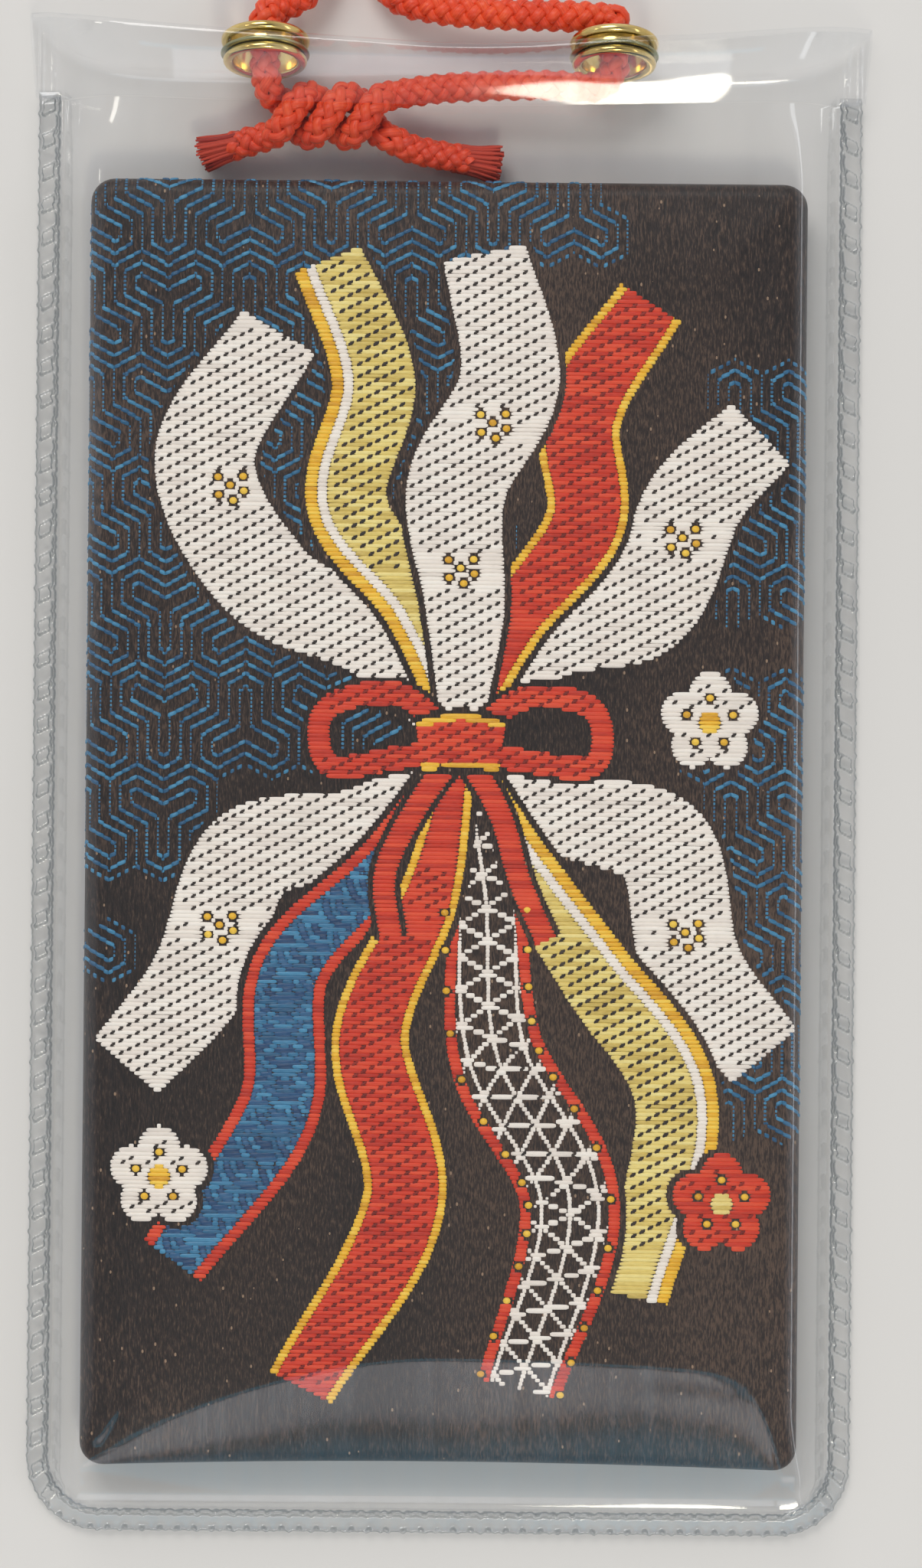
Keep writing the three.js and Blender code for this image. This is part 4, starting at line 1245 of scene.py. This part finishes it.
def tortoiseshell(loom, keep):
    """Weaves the nested lines of the pattern in the hexagons that are kept."""
    row, column = hexagon_cells(loom.u, loom.y)
    in_top = row % 2 == 0
    place = column % 3
    down = np.where(in_top, place != 2, place == 0)
    pair_row = np.where(down, row - row % 2, row - row % 2 + 1)
    first = np.where(down, column - place, np.where(in_top, column - 1, column - place + 1))
    base_u = HEX_START[0] + (first + np.where(down, 0, 0.5)) * HEX_W
    base_y = HEX_START[1] - pair_row * HEX_ROW
    here_u, here_y = loom.u - base_u, loom.y - base_y
    lines = np.zeros(loom.u.shape, int)
    for pointing_down, chosen in ((True, down), (False, ~down)):
        edges, notches = hexagon_edges(pointing_down)
        found = [(slope_of(a, b), segment_distance(here_u, here_y, a, b)) for a, b in edges]
        for corner, pair in notches:
            found += notch_distances(here_u, here_y, corner, pair)
        nearest = {}
        for code in (T, T_UP, T_DOWN):
            nearest[code] = np.minimum.reduce([d for slope, d in found if slope == code])
        least = np.minimum.reduce(list(nearest.values()))
        for code, distance in nearest.items():
            half = HEX_SIDE_HALF if code == T else HEX_SLOPE_HALF
            on = np.minimum.reduce([np.abs(distance - at) for at in HEX_LINES]) < half
            lines[on & chosen & (distance == least)] = code
    centre_u = HEX_START[0] + (column + (row % 2) * 0.5) * HEX_W
    centre_y = HEX_START[1] - row * HEX_ROW
    shown = (lines > 0) & keep(centre_u, centre_y)
    loom.design[shown] = lines[shown]


# Patches of tortoiseshell on the front: from and to across, from and to up.
FAR = 99
FRONT_PATCHES = (
    (-FAR, 10.4, 31.5, FAR), (-FAR, 3.5, 12, FAR), (-FAR, -3.0, 1, FAR), (-FAR, -12.5, -7, FAR),
    (-FAR, -19.5, -14, -8.5), (17.0, FAR, 14, 27), (12.0, FAR, 9, 17), (15.0, FAR, -21, 6),
    (11.5, FAR, -17, -13),
)


def front_patches(u, y):
    """Which points lie in one of the front's patches of tortoiseshell."""
    return np.any([(u > a) & (u < b) & (y > c) & (y < d) for a, b, c, d in FRONT_PATCHES], axis=0)


def back_patches(u, y):
    """Where the tortoiseshell pattern shows on the back."""
    return (np.abs(u) > 12 + 4 * np.sin(y / 9)) | (np.abs(y - CHARM_MID) > 30)


# The bow's lines, from the place where it is tied.
TIE_PLACE = (1.0, 2.0)
BOW_LOOPS = (
    ((0, 0), (-4, 3.2), (-8.5, 2.0), (-8.2, -1.2), (-4, -0.8), (0, 0)),
    ((0, 0), (4, 3.0), (8.3, 2.2), (8.4, -1.0), (4, -0.9), (0, 0)),
)
BOW_TAILS = (
    ((0, 0), (-2.8, -4), (-4.6, -8), (-4.2, -12)),
    ((0, 0), (2.4, -4), (3.8, -8.5), (5.4, -12)),
)
BOW_BAND = ((-2.6, 0), (0, 0.3), (2.6, 0))
BOW_CORD = 1.4
BOW_GAP = 0.32


def weave_front():
    """A bundle of festive ribbons tied with a cord, on the patches of tortoiseshell."""
    loom = Loom()
    tortoiseshell(loom, front_patches)
    start = TIE_PLACE
    gold_edge = ((DG, 0.0, 0.75, 1), (W, 0.75, 1.35, 1))
    red_edge = ((R, 0.0, 0.7, 0),)
    gold_lines = ((DG, 0.0, 0.5, 0),)
    spread = (2.2, 4.8, 6.2, 6.2, 5.2)
    narrow = (2.0, 4.0, 5.0, 5.2, 4.4)
    ribbons = [
        ([start, (6, 8.5), (12.5, 11), (15.5, 17.5), (19.4, 21.5)], spread, W, (), None),
        ([start, (-4.5, 8.5), (-11, 12), (-15, 19.5), (-10.5, 27.5)], spread, W, (), None),
        ([start, (4, 9.5), (8.6, 16), (8.2, 22.5), (12.5, 29.5)], narrow, R, gold_lines, None),
        ([start, (-1.8, 10.5), (-6.2, 17), (-4.6, 24.5), (-7.5, 32)], narrow, PG, gold_edge, None),
        ([start, (1.2, 10.5), (0.6, 18), (3.8, 24.5), (2.2, 32.5)], spread, W, (), None),
        ([start, (7, -2), (13.5, -4), (15.5, -11.5), (20, -17)], spread, W, (), None),
        ([start, (-5, -3), (-12, -5), (-15, -12.5), (-19.5, -18)], spread, W, (), None),
        ([start, (5, -5.5), (9.5, -12), (14.5, -19.5), (12, -32)], narrow, PG, gold_edge, None),
        ([start, (-3.6, -5.5), (-9.4, -12), (-10.0, -20.5), (-16.5, -30)], narrow, B, red_edge, waves),
        ([start, (2.6, -7), (3.4, -17), (8.0, -26), (5.0, -38)], spread, NONE, red_edge, hemp_leaf),
        ([start, (-0.8, -7), (-4.4, -16), (-2.2, -26), (-8.5, -38)], narrow, R, gold_lines, None),
    ]
    for points, widths, yarn, trims, pattern in ribbons:
        loom.ribbon(points, widths, yarn, trims, pattern)
    hemp_ribbon = ribbons[9][0]
    for offset in (2.55, -2.55):
        loom.bead_row(hemp_ribbon[1:], 2.4, offset)
    for centre, yarn, heart in (((-17.4, -24.8), W, DG), ((17.4, -26.2), R, PG), ((16.4, 3.6), W, DG)):
        loom.blossom(centre, 1.9, yarn, heart)
    add_bow(loom)
    for x, y in ((-13.4, 18.0), (2.8, 22.0), (14.6, 15.0), (-13.8, -9.2), (15.0, -9.4), (0.9, 13.0)):
        for dx, dy in ((0, 0), (0.8, 0.55), (-0.75, 0.5), (0.2, -0.95), (-0.7, -0.6), (0.85, -0.35)):
            loom.bead(x + dx, y + dy)
    return loom


def add_bow(loom):
    """The cord that ties the ribbons, with two loops and two hanging ends."""
    for line in BOW_TAILS + BOW_LOOPS:
        loom.ribbon(np.add(line, TIE_PLACE), (BOW_CORD, BOW_CORD), R, gap=BOW_GAP)
    loom.ribbon(np.add(BOW_BAND, TIE_PLACE), (3.0, 3.4, 3.0), R, ((DG, 0, 0.4, 0),))


# Each yarn's name, material and binding thread, the distance between binding points, the gap left there,
# the rise of the float, and the size of the binding thread, along and up.
YARNS = {
    W: ("white", WHITE, TIE, 1.55, 0.04, 0.085, (0.32, 0.10)),
    PG: ("pale_gold", PALE_GOLD, TIE, 1.55, 0.05, 0.085, (0.36, 0.12)),
    DG: ("deep_gold", DEEP_GOLD, TIE, 9.0, 0.06, 0.11, (0.1, 0.1)),
    R: ("red", RED, RED_TIE, 1.55, 0.08, 0.085, (0.36, 0.11)),
    T: ("teal", TEAL, None, 1.1, 0.10, 0.07, None),
    T_UP: ("teal_up", TEAL, None, 1.1, 0.10, 0.12, None),
    T_DOWN: ("teal_down", TEAL, None, 1.1, 0.10, 0.12, None),
    B: ("blue", BLUE, None, 1.55, 0.16, 0.06, None),
}
BIND_SHIFT = 0.51
BIND_SLANT = PICK / BIND_SHIFT
BIND_MARGIN = 0.3
EDGE_SWELL = 1.22
NARROW = 2.5
TEAL_SLOPE = 0.72 * 2 * HEX_AMP / HEX_W
TEAL_SLANT = {T: 0.0, T_UP: TEAL_SLOPE, T_DOWN: -TEAL_SLOPE}


def floats_of(design, yarn, period, gap):
    """Every float of one yarn as (start, end, height up the cloth, width), and its binding points."""
    swell = EDGE_SWELL if yarn not in TEAL_SLANT else 1.0
    spans, ties = [], []
    rows = design.shape[0]
    for row in range(rows):
        on = np.concatenate([[0], (design[row] == yarn).astype(np.int8), [0]])
        change = np.flatnonzero(np.diff(on))
        v = (row + 0.5) * PICK - FLAT_V
        binding = (row * BIND_SHIFT) % period
        for first, last in zip(change[::2], change[1::2]):
            u0, u1 = first * CELL - FLAT_U, last * CELL - FLAT_U
            cuts = [u0]
            if u1 - u0 > NARROW:
                start = math.ceil((u0 + BIND_MARGIN - binding) / period) * period + binding
                for at in np.arange(start, u1 - BIND_MARGIN, period):
                    cuts += [at - gap / 2, at + gap / 2]
                    ties.append((at, v))
            cuts.append(u1)
            for a, b in zip(cuts[::2], cuts[1::2]):
                middle = int(((a + b) / 2 + FLAT_U) / CELL)
                loose = row in (0, rows - 1) or np.any(design[[row - 1, row + 1], middle] != yarn)
                spans.append((a, b, v, swell if loose and b - a > 0.5 else 1.0))
    return np.array(spans), np.array(ties)


SHORT_WIDTH = 0.62
FLOAT_ALONG = np.array([0.0, 0.10, 0.35, 0.65, 0.90, 1.0])
FLOAT_RISE = np.array([0.30, 0.85, 1.0, 1.0, 0.85, 0.30])
FLOAT_WIDTH = np.array([0.55, 0.92, 1.0, 1.0, 0.92, 0.55])
ACROSS = np.array([-0.53, -0.27, 0.27, 0.53])
ACROSS_RISE = np.array([0.2, 0.95, 0.95, 0.2])
BEAD_RADIUS = 0.24
BEAD_RISE = 0.13


def float_mesh(spans, rise, front, base=0.0, slant=0.0):
    """Points, faces and yarn coordinates for rounded floats of weft lying on the cloth."""
    count, each = len(spans), len(FLOAT_ALONG) * len(ACROSS)
    start, stop, middle, swell = spans.T[:, :, None, None]
    length = stop - start
    wide = np.where(length < 0.2, SHORT_WIDTH, 0.98) * PICK * swell
    wide = wide * (1 + 0.05 * rng.standard_normal(count))[:, None, None]
    along = FLOAT_ALONG[:, None]
    v = middle + wide * FLOAT_WIDTH[:, None] * ACROSS + slant * length * (along - 0.5)
    u = np.broadcast_to(start + length * along, v.shape)
    lift = base + rise * np.minimum(1, 0.4 + length) * FLOAT_RISE[:, None] * ACROSS_RISE - 0.01
    points = cloth(u, v, lift, front).reshape(-1, 3)
    block = grid_faces(len(FLOAT_ALONG), len(ACROSS))
    if front:
        block = block[:, ::-1]
    tone = np.repeat(rng.random(count), each)
    return points, repeated(block, count, each), np.stack([u.ravel(), tone], axis=1)


def bead_mesh(beads):
    """Low domes of gold thread on the front."""
    rings, around = 4, 10
    tilt = np.linspace(0, math.pi / 2, rings)
    turn = full_turn(around)
    reach = BEAD_RADIUS * np.cos(tilt)[:, None]
    u = (reach * np.cos(turn)).ravel()
    v = (reach * np.sin(turn) * 0.9).ravel()
    centre = np.array(beads) - np.array([0, CHARM_MID])
    count, each = len(centre), rings * around
    lift = np.broadcast_to(np.repeat(BEAD_RISE * np.sin(tilt), around), (count, each))
    points = cloth(centre[:, :1] + u, centre[:, 1:] + v, lift).reshape(-1, 3)
    faces = repeated(grid_faces(rings, around, True), count, each)
    return points, faces, np.stack([np.tile(u, count), np.repeat(rng.random(count), each)], axis=1)


def add_weave(loom, side, front):
    """The floats, binding threads and beads of a design, one piece for each yarn."""
    def add_yarn(name, material, shape):
        points, faces, coords = shape
        weft = add_piece(f"{name}_{side}", points, faces, [material], "charm", coords)

    loom.design[past_corner(loom.u, loom.y - CHARM_MID)] = NONE
    for yarn, (name, material, binder, period, gap, rise, dot) in YARNS.items():
        spans, ties = floats_of(loom.design, yarn, period, gap)
        if len(spans) == 0:
            continue
        slant = TEAL_SLANT.get(yarn, 0.0)
        add_yarn(f"weft_{name}", material, float_mesh(spans, rise, front, slant=slant))
        if binder is not None and len(ties):
            along, up = dot
            width = np.full(len(ties), up / (SHORT_WIDTH * PICK))
            spots = np.column_stack([ties[:, 0] - along / 2, ties[:, 0] + along / 2, ties[:, 1], width])
            add_yarn(f"binding_{name}", binder, float_mesh(spots, 0.05, front, 0.06, BIND_SLANT))
    if loom.beads:
        add_yarn("weft_beads", DEEP_GOLD, bead_mesh(loom.beads))


def stitches(path):
    """Slanting stitches that join the two cloths, along a path of (x, y, outward x, outward y)."""
    t = np.linspace(-1, 1, 7)
    up = np.array([0, 0, 1])
    length = distance_along(path[:, :2])
    row = []
    for s in np.arange(STITCH_PITCH, length[-1] - STITCH_PITCH, STITCH_PITCH):
        x, y, out_x, out_y = (np.interp(s, length, path[:, k]) for k in range(4))
        out = np.array([out_x, out_y, 0])
        run = np.array([-out_y, out_x, 0])
        centre = np.array([x, y, SEAM_Z]) + np.outer(t, STITCH_REACH * run + STITCH_RISE * up)
        centre += np.outer(0.12 * (1 - t**2) - 0.05, out)
        across = unit(np.cross(run + 0.6 * up, out))
        points, faces = tube(centre, out, across, STITCH_RADIUS, STITCH_RADIUS, YARN_RING)
        tone = np.full(len(points), rng.random())
        row.append((points, faces, np.column_stack([np.repeat(t, YARN_RING), tone])))
    return joined(row)


def add_stitches():
    """The seam along the sides and the bottom, and the one that closes the top."""
    x, low, high = CHARM_HALF - STITCH_INSET, CHARM_LOW + STITCH_INSET, CHARM_HIGH - STITCH_INSET
    sides = [(-x, y, -1, 0) for y in np.linspace(high - 0.6, low + 1.2, 80)]
    sides += [(a, low, 0, -1) for a in np.linspace(-x + 1.2, x - 1.2, 50)]
    sides += [(x, y, 1, 0) for y in np.linspace(low + 1.2, high - 0.6, 80)]
    top = np.array([(a, high, 0, 1) for a in np.linspace(x - 1.0, -x + 1.0, 50)])
    for name, path, node in (("seam", np.array(sides), "seam_thread"), ("mouth", top, "mouth_thread")):
        points, faces, coords = stitches(path)
        row = add_piece(f"{name}_stitches", bowed(points), faces, [THREAD], "charm", coords)
        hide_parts(node)


def add_wadding():
    """A thin lofted layer of wadding behind the front cloth."""
    low, high = (np.array(corner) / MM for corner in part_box("front_padding"))
    middle, half = (low + high) / 2, (high - low) / 2
    u, v = np.meshgrid(np.linspace(-1, 1, 60), np.linspace(-1, 1, 100))
    edge = (1 - u**8) * (1 - v**8)
    lump = 0.08 * np.sin(9 * u + 2 * v) * np.sin(13 * v - u)
    x, y = middle[0] + half[0] * u, middle[1] + half[1] * v
    heights = middle[2] + half[2] * edge * (0.9 + lump), middle[2] - half[2] * edge * (0.9 - lump)
    upper, lower = (np.stack([x, y, z], axis=2).reshape(-1, 3) for z in heights)
    points, faces = shell(upper, lower, grid_faces(*u.shape))
    pad = add_piece("front_wadding", points, faces, [WADDING], "charm")
    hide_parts("front_padding")


def dress_inner_pieces():
    """Finishes for the solids inside the charm, which stay as they are."""
    finishes = {"stiffener_card": CARD, "tablet": WOOD, "tablet_wrapper": WASHI, "wrapper_band": WASHI}
    for node, material in finishes.items():
        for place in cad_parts[node].material_slots:
            place.material = material


def add_pouch():
    """The two cloths of the charm and what is woven into them."""
    for side, front in (("front", True), ("back", False)):
        points, faces = tray(front)
        cover = add_piece(f"brocade_{side}_cloth", points, faces, [GROUND], "charm", sharp=75)
        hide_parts(f"brocade_{side}")
    add_weave(weave_front(), "front", True)
    loom = Loom()
    tortoiseshell(loom, back_patches)
    add_weave(loom, "back", False)


add_camera()
add_studio()
add_cord()
add_eyelets()
add_front_panel()
add_back_panel()
add_weld()
add_pouch()
add_stitches()
add_wadding()
dress_inner_pieces()
